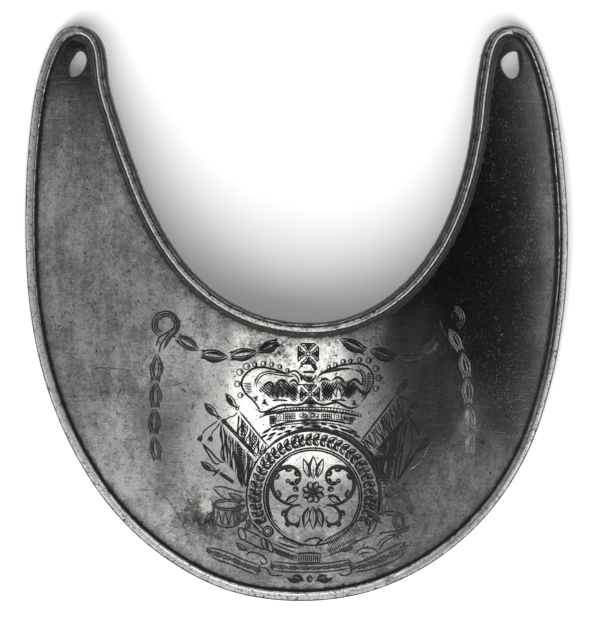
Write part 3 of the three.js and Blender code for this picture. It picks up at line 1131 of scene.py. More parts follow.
def flared_cross(engraver, centre, half, tone=1.0):
    """A cross with four flared arms: each has two hollow sides, a straight end and a dark heart."""
    cuts = engraver.cuts
    centre = np.asarray(centre, float)
    for quarter in range(4):
        out, across = heading_of(90 * quarter + 90)

        def at(a, b):
            return centre + half * (a * out + b * across)

        for side in (-1, 1):
            engraver.cut(
                [at(0.16, 0.10 * side), at(0.5, 0.26 * side), at(0.97, 0.8 * side)],
                cuts.fine, "even", tone)
        engraver.cut([at(0.97, -0.8), at(1.0, 0.8)], cuts.line, "even", tone, bent=False)
        engraver.cut([at(0.88, 0.0), at(0.22, 0.0)], half * 0.62, "fade", tone, bent=False)
        engraver.cut([at(0.80, -0.50), at(0.80, 0.50)], half * 0.20, "even", tone, bent=False)
    engraver.circle(centre, half * 0.17, cuts.fine, tone)


# The pearls along the crown's two arches
PEARLS = [
    # x, y, radius
    (-12.6, -18.0, 0.60),
    (-13.2, -15.5, 0.66),
    (-12.7, -12.9, 0.70),
    (-11.2, -11.6, 0.70),
    (-9.4, -11.2, 0.50),
    (-7.5, -11.0, 0.56),
    (-5.7, -11.2, 0.50),
    (-3.9, -11.7, 0.46),
    (-2.2, -12.5, 0.40),
    (6.8, -11.8, 0.42),
    (8.3, -11.3, 0.46),
    (10.0, -10.6, 0.54),
    (11.6, -10.4, 0.40),
    (13.6, -10.2, 0.50),
    (15.6, -10.3, 0.60),
    (17.2, -12.1, 0.68),
    (17.8, -14.2, 0.68),
    (17.2, -16.5, 0.64),
]

# The crown's outlines
CROWN_LINES = [
    # width, swell, guide points
    (0.50, "even", [(-9.6, -19.4), (-11.4, -17.6), (-12.3, -15.9), (-12.2, -14.6), (-11.2, -13.1),
                    (-9.8, -12.1), (-8.2, -11.8), (-5.9, -12.1), (-3.8, -12.7), (-2.0, -13.2)]),
    (0.46, "even", [(-2.0, -13.2), (-1.1, -12.6), (-0.3, -12.7), (0.6, -13.6), (0.9, -15.0)]),
    (0.34, "even", [(-1.4, -13.4), (-0.6, -13.5), (0.1, -14.3), (0.3, -15.4)]),
    (0.32, "even", [(-9.1, -16.4), (-8.9, -15.0), (-7.9, -13.7), (-6.5, -13.2), (-4.3, -13.5),
                    (-1.6, -13.8), (-0.4, -14.0)]),
    (0.32, "even", [(-9.5, -16.2), (-9.3, -14.8), (-8.3, -13.3), (-6.8, -12.8), (-4.3, -13.0),
                    (-1.6, -13.5)]),
    (0.40, "even", [(-11.4, -17.6), (-9.4, -19.6), (-8.2, -21.4)]),
    (0.50, "even", [(13.8, -19.7), (15.3, -17.6), (16.4, -15.6), (16.6, -14.1), (16.0, -12.5),
                    (14.9, -11.5), (13.5, -11.0), (11.6, -11.1), (9.6, -11.4), (8.0, -11.9),
                    (6.4, -12.4), (4.9, -13.3)]),
    (0.75, "swell", [(4.0, -14.9), (4.9, -13.4), (6.6, -12.7), (8.4, -12.4), (10.4, -12.1),
                     (12.4, -12.3)]),
    (0.44, "even", [(12.4, -12.3), (13.8, -12.9), (14.3, -14.1), (14.1, -16.0)]),
    (0.34, "even", [(13.4, -12.1), (14.6, -13.1), (14.8, -14.6), (14.6, -16.4)]),
    (0.55, "even", [(-7.6, -16.0), (-6.4, -15.1), (-5.2, -15.5)]),
    (0.60, "swell", [(-5.1, -15.6), (-3.5, -14.6), (-1.9, -15.5)]),
    (0.60, "swell", [(-2.0, -15.4), (-0.9, -14.6), (0.3, -15.6)]),
    (0.60, "swell", [(4.6, -15.2), (5.9, -14.3), (7.3, -15.0)]),
    (0.65, "swell", [(7.3, -14.9), (8.9, -14.0), (10.6, -15.5)]),
    (0.70, "swell", [(10.9, -15.6), (12.5, -14.4), (14.2, -16.0)]),
    (0.80, "swell", [(13.0, -16.6), (14.4, -17.4), (15.5, -17.2)]),
    (0.34, "even", [(-0.4, -15.7), (1.6, -15.6), (4.2, -15.7)]),
    (0.38, "even", [(0.2, -12.4), (0.9, -11.3), (2.2, -10.9), (3.6, -11.2), (4.3, -12.3)]),
    (0.55, "even", [(1.0, -12.9), (2.4, -12.8), (3.9, -12.9)]),
    (1.00, "swell", [(2.9, -11.2), (3.8, -11.9), (3.7, -12.7)]),
    (0.38, "even", [(1.0, -13.2), (1.2, -14.3), (2.4, -14.9), (3.6, -14.4), (4.0, -13.3)]),
    (0.60, "swell", [(1.7, -13.8), (2.5, -14.3), (3.3, -13.8)]),
    (0.55, "even", [(-9.6, -20.8), (-8.2, -21.6), (-7.1, -21.6), (-5.7, -21.0), (-3.8, -20.2),
                    (-2.1, -20.1), (0.1, -20.1), (1.7, -19.6), (2.8, -19.1), (3.9, -19.6),
                    (5.6, -20.1), (7.5, -19.7), (8.6, -19.5), (10.0, -20.2), (11.4, -20.8),
                    (12.8, -20.6), (13.9, -19.8)]),
    (0.32, "even", [(-8.6, -22.5), (-6.0, -21.6), (-2.9, -20.9), (2.6, -20.6), (8.0, -20.8),
                    (11.4, -21.4), (14.0, -22.1)]),
    (0.62, "even", [(-8.7, -23.2), (-7.1, -22.3), (-4.3, -21.7), (-1.6, -21.4), (2.6, -21.3),
                    (6.7, -21.5), (9.5, -21.8), (12.2, -22.3), (14.3, -22.8)]),
    (0.46, "even", [(-6.5, -25.1), (-4.3, -24.4), (-1.6, -23.8), (1.2, -23.5), (3.9, -23.4),
                    (6.7, -23.5), (9.5, -23.9), (12.2, -24.5)]),
    (0.30, "even", [(-7.6, -26.0), (-5.4, -25.0), (-2.2, -24.4), (2.6, -24.1), (7.4, -24.2),
                    (10.4, -24.9), (13.4, -26.2)]),
]

# Areas of the crown that are shaded by close cuts
CROWN_SHADES = [
    # heading in degrees, spacing, width, corners
    (-42, 0.47, 0.38, [(-8.7, -16.2), (-7.4, -15.4), (-6.4, -15.2), (-5.0, -15.7), (-3.5, -14.9),
                       (-1.9, -15.5), (-0.8, -14.9), (0.1, -15.6), (0.0, -19.3), (-1.4, -19.5),
                       (-1.7, -17.9), (-2.6, -16.4), (-4.2, -15.7), (-5.2, -16.6), (-5.6, -18.4),
                       (-6.2, -18.9), (-7.4, -17.2), (-8.4, -17.8)]),
    (58, 0.47, 0.38, [(4.9, -15.2), (6.1, -14.6), (7.3, -15.2), (8.9, -14.4), (10.6, -15.7),
                      (12.5, -14.8), (13.9, -16.4), (13.0, -17.3), (12.2, -16.9), (11.0, -19.0),
                      (10.3, -18.6), (9.9, -16.8), (9.0, -15.8), (7.9, -17.0), (7.3, -19.2),
                      (5.4, -19.4)]),
    (-40, 0.62, 0.28, [(4.9, -15.6), (7.0, -15.2), (7.4, -16.2), (6.9, -19.2), (5.5, -19.2)]),
    (-50, 0.50, 0.28, [(10.6, -15.9), (12.5, -15.0), (13.8, -16.4), (12.0, -17.2), (11.0, -18.9),
                       (10.4, -18.0)]),
    (4, 0.36, 0.26, [(-12.2, -15.2), (-9.9, -15.0), (-9.9, -17.4), (-11.3, -17.7)]),
    (2, 0.36, 0.28, [(14.9, -13.2), (16.3, -13.0), (16.4, -15.4), (15.3, -17.3), (14.8, -16.8)]),
    (0, 0.30, 0.30, [(-10.0, -18.6), (-8.6, -17.9), (-8.9, -19.5)]),
    (0, 0.30, 0.30, [(-8.2, -19.9), (-7.3, -18.3), (-6.2, -20.3)]),
    (0, 0.30, 0.30, [(11.6, -20.2), (12.4, -18.7), (13.3, -20.2)]),
    (0, 0.30, 0.30, [(13.7, -18.8), (14.1, -17.6), (15.3, -17.7)]),
    (90, 0.36, 0.34, [(-6.4, -22.5), (-5.0, -22.1), (-4.8, -24.3), (-6.2, -24.8)]),
    (0, 0.40, 0.30, [(-6.4, -22.6), (-5.0, -22.2), (-4.8, -24.3), (-6.2, -24.8)]),
    (0, 0.50, 0.24, [(-3.2, -21.9), (-0.4, -21.7), (-0.4, -23.5), (-3.2, -23.8)]),
    (0, 0.50, 0.24, [(5.2, -21.8), (7.6, -21.9), (7.6, -23.4), (5.2, -23.3)]),
    (0, 0.40, 0.30, [(11.0, -22.6), (12.6, -22.9), (12.2, -24.3), (11.0, -24.1)]),
    (90, 0.42, 0.26, [(-3.2, -21.8), (-0.4, -21.6), (-0.4, -23.5), (-3.2, -23.9)]),
    (90, 0.42, 0.30, [(5.2, -21.6), (7.6, -21.8), (7.6, -23.4), (5.2, -23.3)]),
    (90, 0.36, 0.32, [(10.2, -22.2), (12.6, -22.8), (12.2, -24.3), (10.2, -23.8)]),
]

# Dark tails and ragged strokes of the fur at the crown's foot. They lean more the further they
# are from the middle.
FUR_MIDDLE = 2.9
FUR_LEAN = 0.075
FUR_STROKES = [
    # x, y, length, width
    (-6.9, -25.9, 1.6, 0.55), (-5.6, -26.6, 1.5, 0.60), (-4.9, -25.4, 1.3, 0.45),
    (-3.5, -25.3, 1.6, 0.65), (-2.2, -25.9, 1.5, 0.55), (-1.0, -24.9, 1.2, 0.42),
    (0.4, -25.1, 1.7, 0.65), (1.9, -24.5, 1.2, 0.42), (2.5, -25.5, 1.5, 0.55),
    (4.1, -24.8, 1.8, 0.68), (5.8, -24.4, 1.2, 0.42), (6.2, -25.3, 1.5, 0.55),
    (7.9, -24.9, 1.8, 0.66), (9.3, -24.6, 1.2, 0.46), (10.0, -25.6, 1.5, 0.56),
    (11.3, -26.0, 1.7, 0.64), (12.4, -26.0, 1.2, 0.46), (13.0, -26.9, 1.5, 0.56),
    (-7.4, -27.0, 1.4, 0.50), (-6.2, -27.5, 1.4, 0.46), (-3.9, -26.5, 1.3, 0.46),
    (5.2, -25.9, 1.2, 0.40), (8.4, -25.9, 1.4, 0.46), (11.6, -27.0, 1.3, 0.46),
]


def draw_fleur(engraver, x, y):
    """A small flower of three petals that stands on a curved bar over the crown's band."""
    cuts = engraver.cuts
    draw_lines(engraver, (
        (cuts.fine, "even", [(x - 0.5, y - 1.4), (x - 0.5, y - 0.2), (x, y + 1.2),
                             (x + 0.5, y - 0.2), (x + 0.5, y - 1.4)]),
        (cuts.fine, "even", [(x - 0.5, y - 1.2), (x - 1.5, y + 0.2), (x - 1.6, y - 1.2)]),
        (cuts.fine, "even", [(x + 0.5, y - 1.2), (x + 1.5, y + 0.2), (x + 1.6, y - 1.2)]),
        (cuts.line, "even", [(x - 1.8, y - 1.9), (x, y - 1.7), (x + 1.8, y - 1.9)]),
    ))


def draw_crown(engraver):
    """The crown over the strap: cross, ball, two arches with pearls, cap and banded foot."""
    flared_cross(engraver, (2.3, -8.85), 2.25)
    flared_cross(engraver, (2.7, -17.75), 2.05)
    draw_lines(engraver, CROWN_LINES)
    for heading, spacing, width, corners in CROWN_SHADES:
        shaded(engraver, corners, heading, spacing, width)
    for x, y, radius in PEARLS:
        engraver.circle((x, y), radius, 0.26)
        engraver.arc((x + 0.1 * radius, y), radius * 0.42, -110, 110, 0.34, "swell")
    for x in (-3.9, 9.0):
        draw_fleur(engraver, x, -17.3)
    hatch(engraver, [(-8.2, -22.5), (-2.7, -21.0), (2.7, -20.7), (8.5, -21.0), (13.9, -22.1)],
          [(-8.2, -22.9), (-2.7, -21.4), (2.7, -21.2), (8.5, -21.5), (13.9, -22.6)], 34, 0.30)
    for x, y in ((-3.9, -22.8), (8.8, -22.6)):
        for half in (0.75, 0.32):
            square = [(x - half, y - half), (x + half, y - half), (x + half, y + half),
                      (x - half, y + half), (x - half, y - half)]
            engraver.cut(square, 0.26, bent=False)
    for x in (1.2, 3.7):
        lozenge = [(x - 1.2, -22.4), (x, -21.9), (x + 1.2, -22.4), (x, -22.9), (x - 1.2, -22.4)]
        engraver.cut(lozenge, 0.26, bent=False)
        engraver.circle((x, -22.4), 0.14, 0.22)
    for x, y, length, width in FUR_STROKES:
        rise = FUR_LEAN * (FUR_MIDDLE - x) * length / 2
        half = 0.65 * length
        engraver.cut([(x - half, y - rise), (x + half, y + rise)], 1.15 * width, "swell",
                     bent=False)


# Spears and poles behind the strap, each with a leaf-shaped head
SPEARS = [
    # tip x, y, neck x, y, head width, shaded side, pole end x, y, pole lines
    (-15.9, -17.5, -13.3, -20.9, 1.2, -1, -6.4, -29.4, 1),
    (-20.6, -19.6, -17.3, -22.9, 1.3, -1, -8.9, -31.9, 2),
    (-21.5, -32.6, -17.9, -34.9, 1.2, -1, -14.0, -37.6, 2),
    (24.2, -14.3, 21.9, -17.6, 1.2, 1, 13.6, -28.5, 1),
    (26.5, -19.4, 24.2, -22.2, 1.2, 1, 17.0, -30.6, 2),
    (29.3, -27.0, 26.4, -30.2, 1.3, 1, 21.7, -37.4, 1),
]

# Cords that end in a tassel
CORDS = [
    # guide points, tassel half length
    ([(-17.4, -23.5), (-19.4, -24.9), (-20.6, -25.9), (-21.1, -26.8)], 0.8),
    ([(-17.0, -23.8), (-17.9, -25.2), (-18.7, -26.0), (-19.0, -26.9)], 0.7),
    ([(-13.2, -21.6), (-14.0, -22.5), (-15.0, -22.8), (-15.7, -23.3)], 0.7),
    ([(22.1, -18.0), (23.4, -18.6), (24.3, -18.9), (24.8, -19.5)], 0.7),
    ([(22.1, -18.2), (22.8, -19.4), (23.1, -20.6), (23.0, -21.5)], 0.8),
    ([(24.1, -22.4), (25.4, -24.2), (26.4, -25.7), (26.6, -27.0)], 0.8),
]

# Folded flags, and how far apart the cuts across their stripes are
STRIPE_SPACING = 0.62
FLAGS = [
    # pole edge, lower edge, folds, stripes from share to share
    ([(-12.9, -22.2), (-6.6, -29.6)], [(-13.3, -26.7), (-9.0, -31.5), (-7.6, -31.0)], 14,
     ((0.10, 0.26), (0.46, 0.64))),
    ([(-17.0, -24.1), (-9.3, -32.3)],
     [(-16.2, -32.8), (-13.6, -35.8), (-11.6, -38.6), (-10.9, -36.2)], 17,
     ((0.44, 0.60), (0.74, 0.88))),
    ([(21.8, -18.5), (13.9, -28.2)], [(23.2, -23.4), (17.4, -30.1), (15.6, -29.6)], 17,
     ((0.30, 0.46),)),
    ([(24.1, -22.9), (17.3, -30.5)],
     [(21.9, -37.4), (20.4, -37.9), (18.9, -36.6), (18.0, -33.6)], 15,
     ((0.20, 0.42), (0.66, 0.9))),
]

# The drums, each from the middle of its head
DRUMS = [
    # x, y, tone
    (-15.6, -42.0, 0.7),
    (21.6, -39.4, 0.6),
]

# Leaves and tassel ends about the drums and cannon
FOLIAGE = [
    # root x, y, tip x, y, width, shaded side
    (19.4, -40.6, 20.6, -36.6, 1.1, 1),
    (19.6, -40.4, 22.4, -36.4, 1.1, 1),
    (19.9, -40.2, 24.2, -37.2, 1.1, -1),
    (20.0, -40.2, 25.2, -39.0, 1.0, -1),
    (18.0, -41.6, 16.6, -38.6, 0.9, 1),
    (-11.6, -41.4, -15.4, -39.6, 1.2, 1),
    (-11.4, -42.2, -14.6, -43.8, 1.1, -1),
    (-11.0, -43.6, -13.4, -46.4, 1.1, 1),
    (-18.6, -43.6, -20.8, -46.6, 0.9, 1),
    (16.8, -42.4, 19.0, -44.6, 1.1, -1),
    (15.6, -43.6, 18.6, -46.4, 1.0, 1),
    (24.4, -41.6, 25.2, -44.4, 0.9, 1),
    (-10.4, -45.2, -11.6, -47.8, 0.9, 1),
    (21.8, -48.6, 24.9, -46.9, 0.8, 1),
    (12.4, -51.6, 9.2, -52.4, 0.9, 1),
    (-13.8, -50.6, -11.0, -52.6, 0.9, -1),
]


def draw_flag(engraver, pole_edge, lower_edge, folds, stripes):
    """A hanging flag: wavy folds from the pole to the lower edge, thick at every fourth, a fading
    line after every other one, and slanting cuts across its stripes."""
    cuts = engraver.cuts
    top, bottom = spread(pole_edge, folds), spread(lower_edge, folds)
    for number, (a, b) in enumerate(zip(top, bottom)):
        fall = b - a
        across = left_of(fall) / np.linalg.norm(fall)
        sway = 0.28 * np.sin(1.7 * number)
        fold = [a, a + 0.3 * fall + sway * across, a + 0.7 * fall - sway * across, b]
        if number % 4 == 2:
            engraver.cut(fold, 0.5, "swell")
        else:
            engraver.cut(fold, cuts.line if number in (0, folds - 1) else cuts.fine)
        if number + 1 < folds and number % 2:
            start = (top[number + 1] + a) / 2
            end = (bottom[number + 1] + b) / 2
            engraver.cut([start + 0.1 * (end - start), start + 0.7 * (end - start)],
                         cuts.fine * 0.85, "fade")
    steps = int(np.linalg.norm(bottom[0] - top[0]) / STRIPE_SPACING)
    for low, high in stripes:
        first = int(low * folds)
        last = min(int(high * folds) + 1, folds - 1)
        for share in (np.arange(steps) + 0.5) / steps:
            a = top[first] + share * (bottom[first] - top[first])
            b = top[last] + (share + 0.06) * (bottom[last] - top[last])
            engraver.cut([a, b], cuts.fine, bent=False)


def draw_spear(engraver, tip_x, tip_y, neck_x, neck_y, wide, side, end_x, end_y, lines):
    """A leaf-shaped head with a dark ridge, a ring at its neck, and one or two lines of pole."""
    cuts = engraver.cuts
    tip, neck, end = map(np.array, ((tip_x, tip_y), (neck_x, neck_y), (end_x, end_y)))
    leaf(engraver, tip, neck, wide, side)
    engraver.cut([0.8 * tip + 0.2 * neck, 0.3 * tip + 0.7 * neck], 0.55, "swell", bent=False)
    engraver.circle(neck, 0.32, cuts.fine)
    along = unit(end - neck)
    for number in range(lines):
        shift = left_of(along) * 0.42 * number
        engraver.cut([neck + 0.5 * along + shift, end + shift], cuts.line, bent=False)


def draw_cord(engraver, points, half):
    """A cord whose tassel goes on in its last direction: a dark heart between two thin sides."""
    cuts = engraver.cuts
    engraver.cut(points, cuts.fine)
    end = np.array(points[-1])
    way = unit(end - np.array(points[-2]))
    engraver.cut([end - 0.2 * way, end + 2 * half * way], 0.75, "swell", bent=False)
    for side in (-1, 1):
        out = left_of(way) * 0.42 * side
        engraver.cut([end, end + half * way + out, end + 2 * half * way + out * 0.8], cuts.fine)


def draw_drum(engraver, x, y, tone):
    """A drum seen from a little above, from the middle of its head: head and hoop, foot, sides, a
    shaded side, and laces in a zigzag."""
    cuts = engraver.cuts
    for drop, width in ((0.0, cuts.line), (0.45, cuts.fine)):
        engraver.cut(ellipse(x, y - drop, 2.9, 1.0), width, closed=True, tone=tone)
    foot = [(x - 2.8, y - 4.3), (x - 1.6, y - 5.0), (x, y - 5.3), (x + 1.6, y - 5.0),
            (x + 2.8, y - 4.3)]
    engraver.cut(foot, cuts.line, tone=tone)
    for side in (-1, 1):
        engraver.cut([(x + 2.9 * side, y - 0.2), (x + 2.85 * side, y - 4.3)], cuts.line, tone=tone)
    dark_side = [(x + 1.2, y - 1.2), (x + 2.7, y - 0.9), (x + 2.6, y - 4.4), (x + 1.2, y - 4.9)]
    shaded(engraver, dark_side, 90, 0.45, cuts.fine, tone)
    laces = np.linspace(-2.6, 2.6, 8)
    high, low = y - 1.3, y - 4.8
    for number, (a, b) in enumerate(zip(laces[:-1], laces[1:])):
        first, second = (high, low) if number % 2 else (low, high)
        engraver.cut([(x + a, first), (x + b, second)], cuts.fine, tone=tone, bent=False)


def draw_trophy(engraver):
    """The flags, spears and cords either side of the strap, and the drums and leaves under them."""
    cuts = engraver.cuts
    for row in SPEARS:
        draw_spear(engraver, *row)
    for row in CORDS:
        draw_cord(engraver, *row)
    for row in FLAGS:
        draw_flag(engraver, *row)
    draw_lines(engraver, (
        (cuts.line, "even", [(-21.1, -28.5), (-19.2, -30.4), (-17.1, -32.6), (-16.0, -32.9)]),
        (cuts.line, "even", [(-21.1, -28.5), (-20.0, -30.4), (-18.0, -33.2), (-17.0, -32.9)]),
        (cuts.line, "even", [(-17.1, -34.2), (-18.7, -35.9)]),
        (cuts.fine, "even", [(-16.6, -24.5), (-17.1, -26.5), (-16.6, -28.6), (-16.9, -31.0),
                             (-16.2, -32.8)]),
        (cuts.fine, "even", [(24.4, -23.2), (25.0, -26.0), (25.1, -29.0), (23.8, -33.0),
                             (21.9, -37.4)]),
        (0.5, "swell", [(26.0, -31.0), (24.4, -32.6), (23.2, -34.4)]),
    ))
    hatch(engraver, [(14.6, -29.3), (17.0, -33.6), (18.3, -38.4)],
          [(16.9, -31.2), (18.9, -34.2), (20.2, -38.2)], 13, cuts.fine)
    hatch(engraver, [(15.6, -29.6), (17.0, -31.4), (19.0, -34.8)],
          [(17.0, -34.2), (18.2, -36.6), (19.6, -38.6)], 7, cuts.fine)
    for row in DRUMS:
        draw_drum(engraver, *row)
    for x0, y0, x1, y1, wide, side in FOLIAGE:
        leaf(engraver, (x0, y0), (x1, y1), wide, side, 0.85)
    draw_lines(engraver, (
        (cuts.line, "even", [(-18.7, -38.3), (-16.8, -38.2), (-14.2, -38.9), (-11.6, -39.6)]),
        (cuts.line, "even", [(-18.6, -38.5), (-17.0, -40.2), (-15.0, -41.3)]),
        (0.55, "swell", [(-14.4, -42.8), (-13.0, -43.2), (-11.6, -42.9)]),
        (cuts.fine, "even", [(-19.0, -40.8), (-18.7, -43.2), (-18.9, -45.6), (-18.4, -47.4)]),
        (cuts.fine, "even", [(-12.4, -44.0), (-11.4, -45.6), (-10.6, -47.8)]),
    ), 0.8)


# The round strap, the wreath along its middle, and the rosette inside it
STRAP_CENTRE = np.array([3.3, -40.4])
WREATH_RADIUS = 12.7
ROSE_CENTRE = np.array([3.4, -39.4])

# Leaves of the rosette that stand on both sides of its middle
ROSE_LEAVES = [
    # root x, y, tip x, y, width
    (1.0, -3.2, 2.0, -7.9, 1.4),
    (0.8, 3.1, 2.2, 7.6, 1.3),
    (3.1, -0.6, 6.4, -2.6, 1.3),
    (3.2, 0.4, 4.6, 0.9, 0.9),
]


def cut_spiral(engraver, side, eye, angles, radii, width):
    """Cuts a spiral round its eye, with a radius for each of its angles in degrees, and returns
    its points. On the left side it is mirrored."""
    turn = np.radians(angles)
    spiral = np.column_stack([
        eye[0] + side * radii * np.cos(turn), eye[1] + radii * np.sin(turn)])
    engraver.cut(spiral, width, "swell")
    return spiral


def leaves_along(engraver, side, spiral, leaves, ahead, outwards, slim):
    """Leaves at some points of a spiral. Each points ahead along it and outwards from it by these
    shares of its length, and is as wide as its slimness times its length."""
    for number, length in leaves:
        root = spiral[number]
        way = unit(spiral[number + 1] - root)
        out = left_of(way) * side
        leaf(engraver, root, root + length * (ahead * way + outwards * out), slim * length, side)


def draw_strap(engraver):
    """The round strap with a wreath along it, its buckle, and a leafy rosette inside."""
    cuts = engraver.cuts

    def polar(radius, angle):
        turn = np.radians(angle)
        return STRAP_CENTRE + radius * np.array([np.cos(turn), np.sin(turn)])

    for radius, first, last, width, swell, closed in (
        # radius, first and last angle in degrees, width, swell, whether it closes
        (14.6, -36, 217, cuts.line, "even", False),
        (14.95, -24, 133, 1.05, "swell", False),
        (15.7, 12, 73, cuts.line, "even", False),
        (10.8, 0, 360, cuts.line, "even", True),
        (10.3, -60, 241, cuts.line, "even", False),
        (9.95, 118, 221, 0.75, "swell", False),
        (WREATH_RADIUS, -28, 213, cuts.fine, "even", False),
    ):
        ring = [polar(radius, angle) for angle in range(first, last, 12)]
        engraver.cut(ring, width, swell, closed=closed)

    for number, angle in enumerate(np.arange(-24, 208, 7.4)):
        root = polar(WREATH_RADIUS, angle + 2.6)
        for side in (-1, 1):
            leaf(engraver, root, polar(WREATH_RADIUS + 1.35 * side, angle - 3.4), 0.85, -1)
        if number % 5 == 2:
            for side in (-1, 1):
                berry = polar(WREATH_RADIUS + 1.15 * side, angle + 3.4)
                engraver.circle(berry, 0.24, cuts.fine)

    for number in range(8):
        way, _ = heading_of(45 * number + 22.5)
        leaf(engraver, ROSE_CENTRE + 0.6 * way, ROSE_CENTRE + 2.6 * way, 1.3, 1)
    engraver.circle(ROSE_CENTRE, 0.5, cuts.line)
    engraver.circle(ROSE_CENTRE, 0.16, 0.24)
    for side in (-1, 1):
        angles = np.linspace(-118, 330, 16)
        radii = np.interp(angles, (-118, 60, 330), (6.2, 3.0, 0.75))
        spiral = cut_spiral(engraver, side, ROSE_CENTRE + (4.9 * side, 2.9), angles, radii, 1.05)
        engraver.circle(spiral[-1], 0.34, cuts.line)
        upper_leaves = ((2, 2.2), (4, 2.0), (6, 1.9), (8, 1.7), (10, 1.5), (12, 1.2))
        leaves_along(engraver, side, spiral, upper_leaves, 0.85, 0.45, 0.42)
        angles = np.linspace(130, -240, 13)
        radii = np.interp(angles, (-240, 130), (0.6, 2.9))
        spiral = cut_spiral(engraver, side, ROSE_CENTRE + (3.9 * side, -5.6), angles, radii, 0.8)
        lower_leaves = ((3, 1.8), (5, 1.5), (7, 1.2))
        leaves_along(engraver, side, spiral, lower_leaves, 0.7, 0.6, 0.45)
        for x0, y0, x1, y1, wide in ROSE_LEAVES:
            leaf(engraver, ROSE_CENTRE + (x0 * side, y0), ROSE_CENTRE + (x1 * side, y1), wide, side)
    leaf(engraver, ROSE_CENTRE + (0.0, 2.9), ROSE_CENTRE + (0.0, 8.2), 1.7, 1)
    leaf(engraver, ROSE_CENTRE + (0.0, -3.0), ROSE_CENTRE + (0.0, -8.4), 1.7, 1)

    engraver.circle((-6.6, -48.1), 1.15, cuts.line)
    engraver.circle((-6.6, -48.1), 0.7, cuts.fine)
    draw_lines(engraver, (
        (cuts.line, "even", [(-10.0, -46.2), (-9.0, -47.4), (-8.0, -48.6)]),
        (cuts.fine, "even", [(-9.4, -45.4), (-8.4, -46.8), (-7.6, -47.6)]),
        (0.5, "swell", [(-4.7, -50.4), (-2.0, -51.4), (0.6, -51.9)]),
        (cuts.line, "even", [(-4.2, -49.4), (-1.6, -49.9), (1.4, -51.6)]),
        (cuts.line, "even", [(1.2, -50.6), (2.6, -49.8), (4.6, -49.6), (5.6, -50.4)]),
        (0.5, "swell", [(4.0, -52.0), (4.4, -50.8), (5.8, -49.6)]),
    ))
    hatch(engraver, [(-3.4, -50.2), (0.2, -51.6)], [(-2.4, -49.6), (0.9, -51.0)], 8, cuts.fine)


# The muzzles and bands of the cannon
CANNON_RINGS = [
    # x, y, half width, half height, tilt in degrees
    (-12.3, -48.7, 0.75, 1.5, 20),
    (22.3, -45.9, 1.2, 2.1, 10),
    (22.4, -45.9, 0.7, 1.5, 10),
    (-7.3, -50.9, 0.6, 1.5, 24),
    (-6.3, -51.4, 0.6, 1.5, 24),
    (16.6, -46.8, 0.6, 2.2, -22),
]


def draw_cannon(engraver):
    """Two cannon that cross behind the strap's foot, with a small pedestal between them."""
    cuts = engraver.cuts
    for ring in CANNON_RINGS:
        engraver.cut(ellipse(*ring), cuts.line, closed=True, tone=0.8)
    draw_lines(engraver, (
        (cuts.line, "even", [(-12.7, -47.3), (-10.4, -48.2), (-7.9, -49.5)]),
        (cuts.line, "even", [(-11.9, -50.1), (-9.6, -51.2), (-7.2, -52.3)]),
        (0.45, "swell", [(-5.9, -50.6), (-3.0, -51.9), (0.0, -53.0)]),
        (0.5, "swell", [(-5.8, -52.6), (-3.0, -53.6), (0.0, -54.8)]),
        (cuts.line, "even", [(17.2, -44.2), (19.4, -43.7), (21.6, -43.8)]),
        (cuts.line, "even", [(17.9, -48.6), (20.0, -48.3), (22.4, -47.9)]),
        (cuts.line, "even", [(5.4, -50.4), (9.4, -48.2), (13.0, -45.8), (16.2, -44.6)]),
        (0.5, "swell", [(5.4, -54.0), (9.4, -52.5), (13.4, -50.2), (17.4, -48.8)]),
    ), 0.85)
    hatch(engraver, [(-5.4, -51.4), (-0.2, -53.4)], [(-5.7, -52.6), (-0.4, -54.6)], 19, cuts.fine)
    for upper, lower, count in (
        ([(6.2, -50.0), (12.6, -46.2)], [(7.2, -51.6), (14.0, -48.4)], 17),
        ([(6.4, -51.8), (12.4, -49.0)], [(7.4, -53.2), (13.0, -50.4)], 15),
    ):
        hatch(engraver, upper, lower, count, cuts.fine, 0.8)
    draw_lines(engraver, (
        (cuts.line, "even", [(-0.4, -53.1), (2.4, -52.9), (5.4, -53.1)]),
        (cuts.line, "even", [(0.0, -55.1), (2.5, -55.1), (5.0, -55.1)]),
    ))
    hatch(engraver, [(0.2, -53.1), (5.0, -53.1)], [(0.3, -55.0), (4.8, -55.0)], 11, cuts.fine)


# The ribbons along the foot: the upper and the lower edge, and how many marks between them
RIBBONS = [
    # upper edge, lower edge, marks
    ([(-20.1, -51.7), (-17.4, -52.2), (-14.6, -53.2), (-11.6, -54.6), (-8.4, -55.6)],
     [(-19.6, -53.2), (-18.0, -54.4), (-15.0, -55.4), (-12.2, -56.6), (-9.0, -57.9)], 16),
    ([(-5.8, -54.8), (-1.0, -55.3), (3.0, -55.4), (7.4, -55.1), (11.4, -54.4)],
     [(-5.6, -56.9), (-1.0, -57.2), (3.0, -57.2), (7.4, -57.0), (11.6, -56.3)], 22),
    ([(11.8, -55.6), (15.4, -54.4), (18.6, -52.8), (21.4, -51.4), (23.4, -50.6)],
     [(12.0, -57.3), (15.4, -56.8), (19.2, -55.6), (22.2, -54.2), (23.9, -52.4)], 16),
]


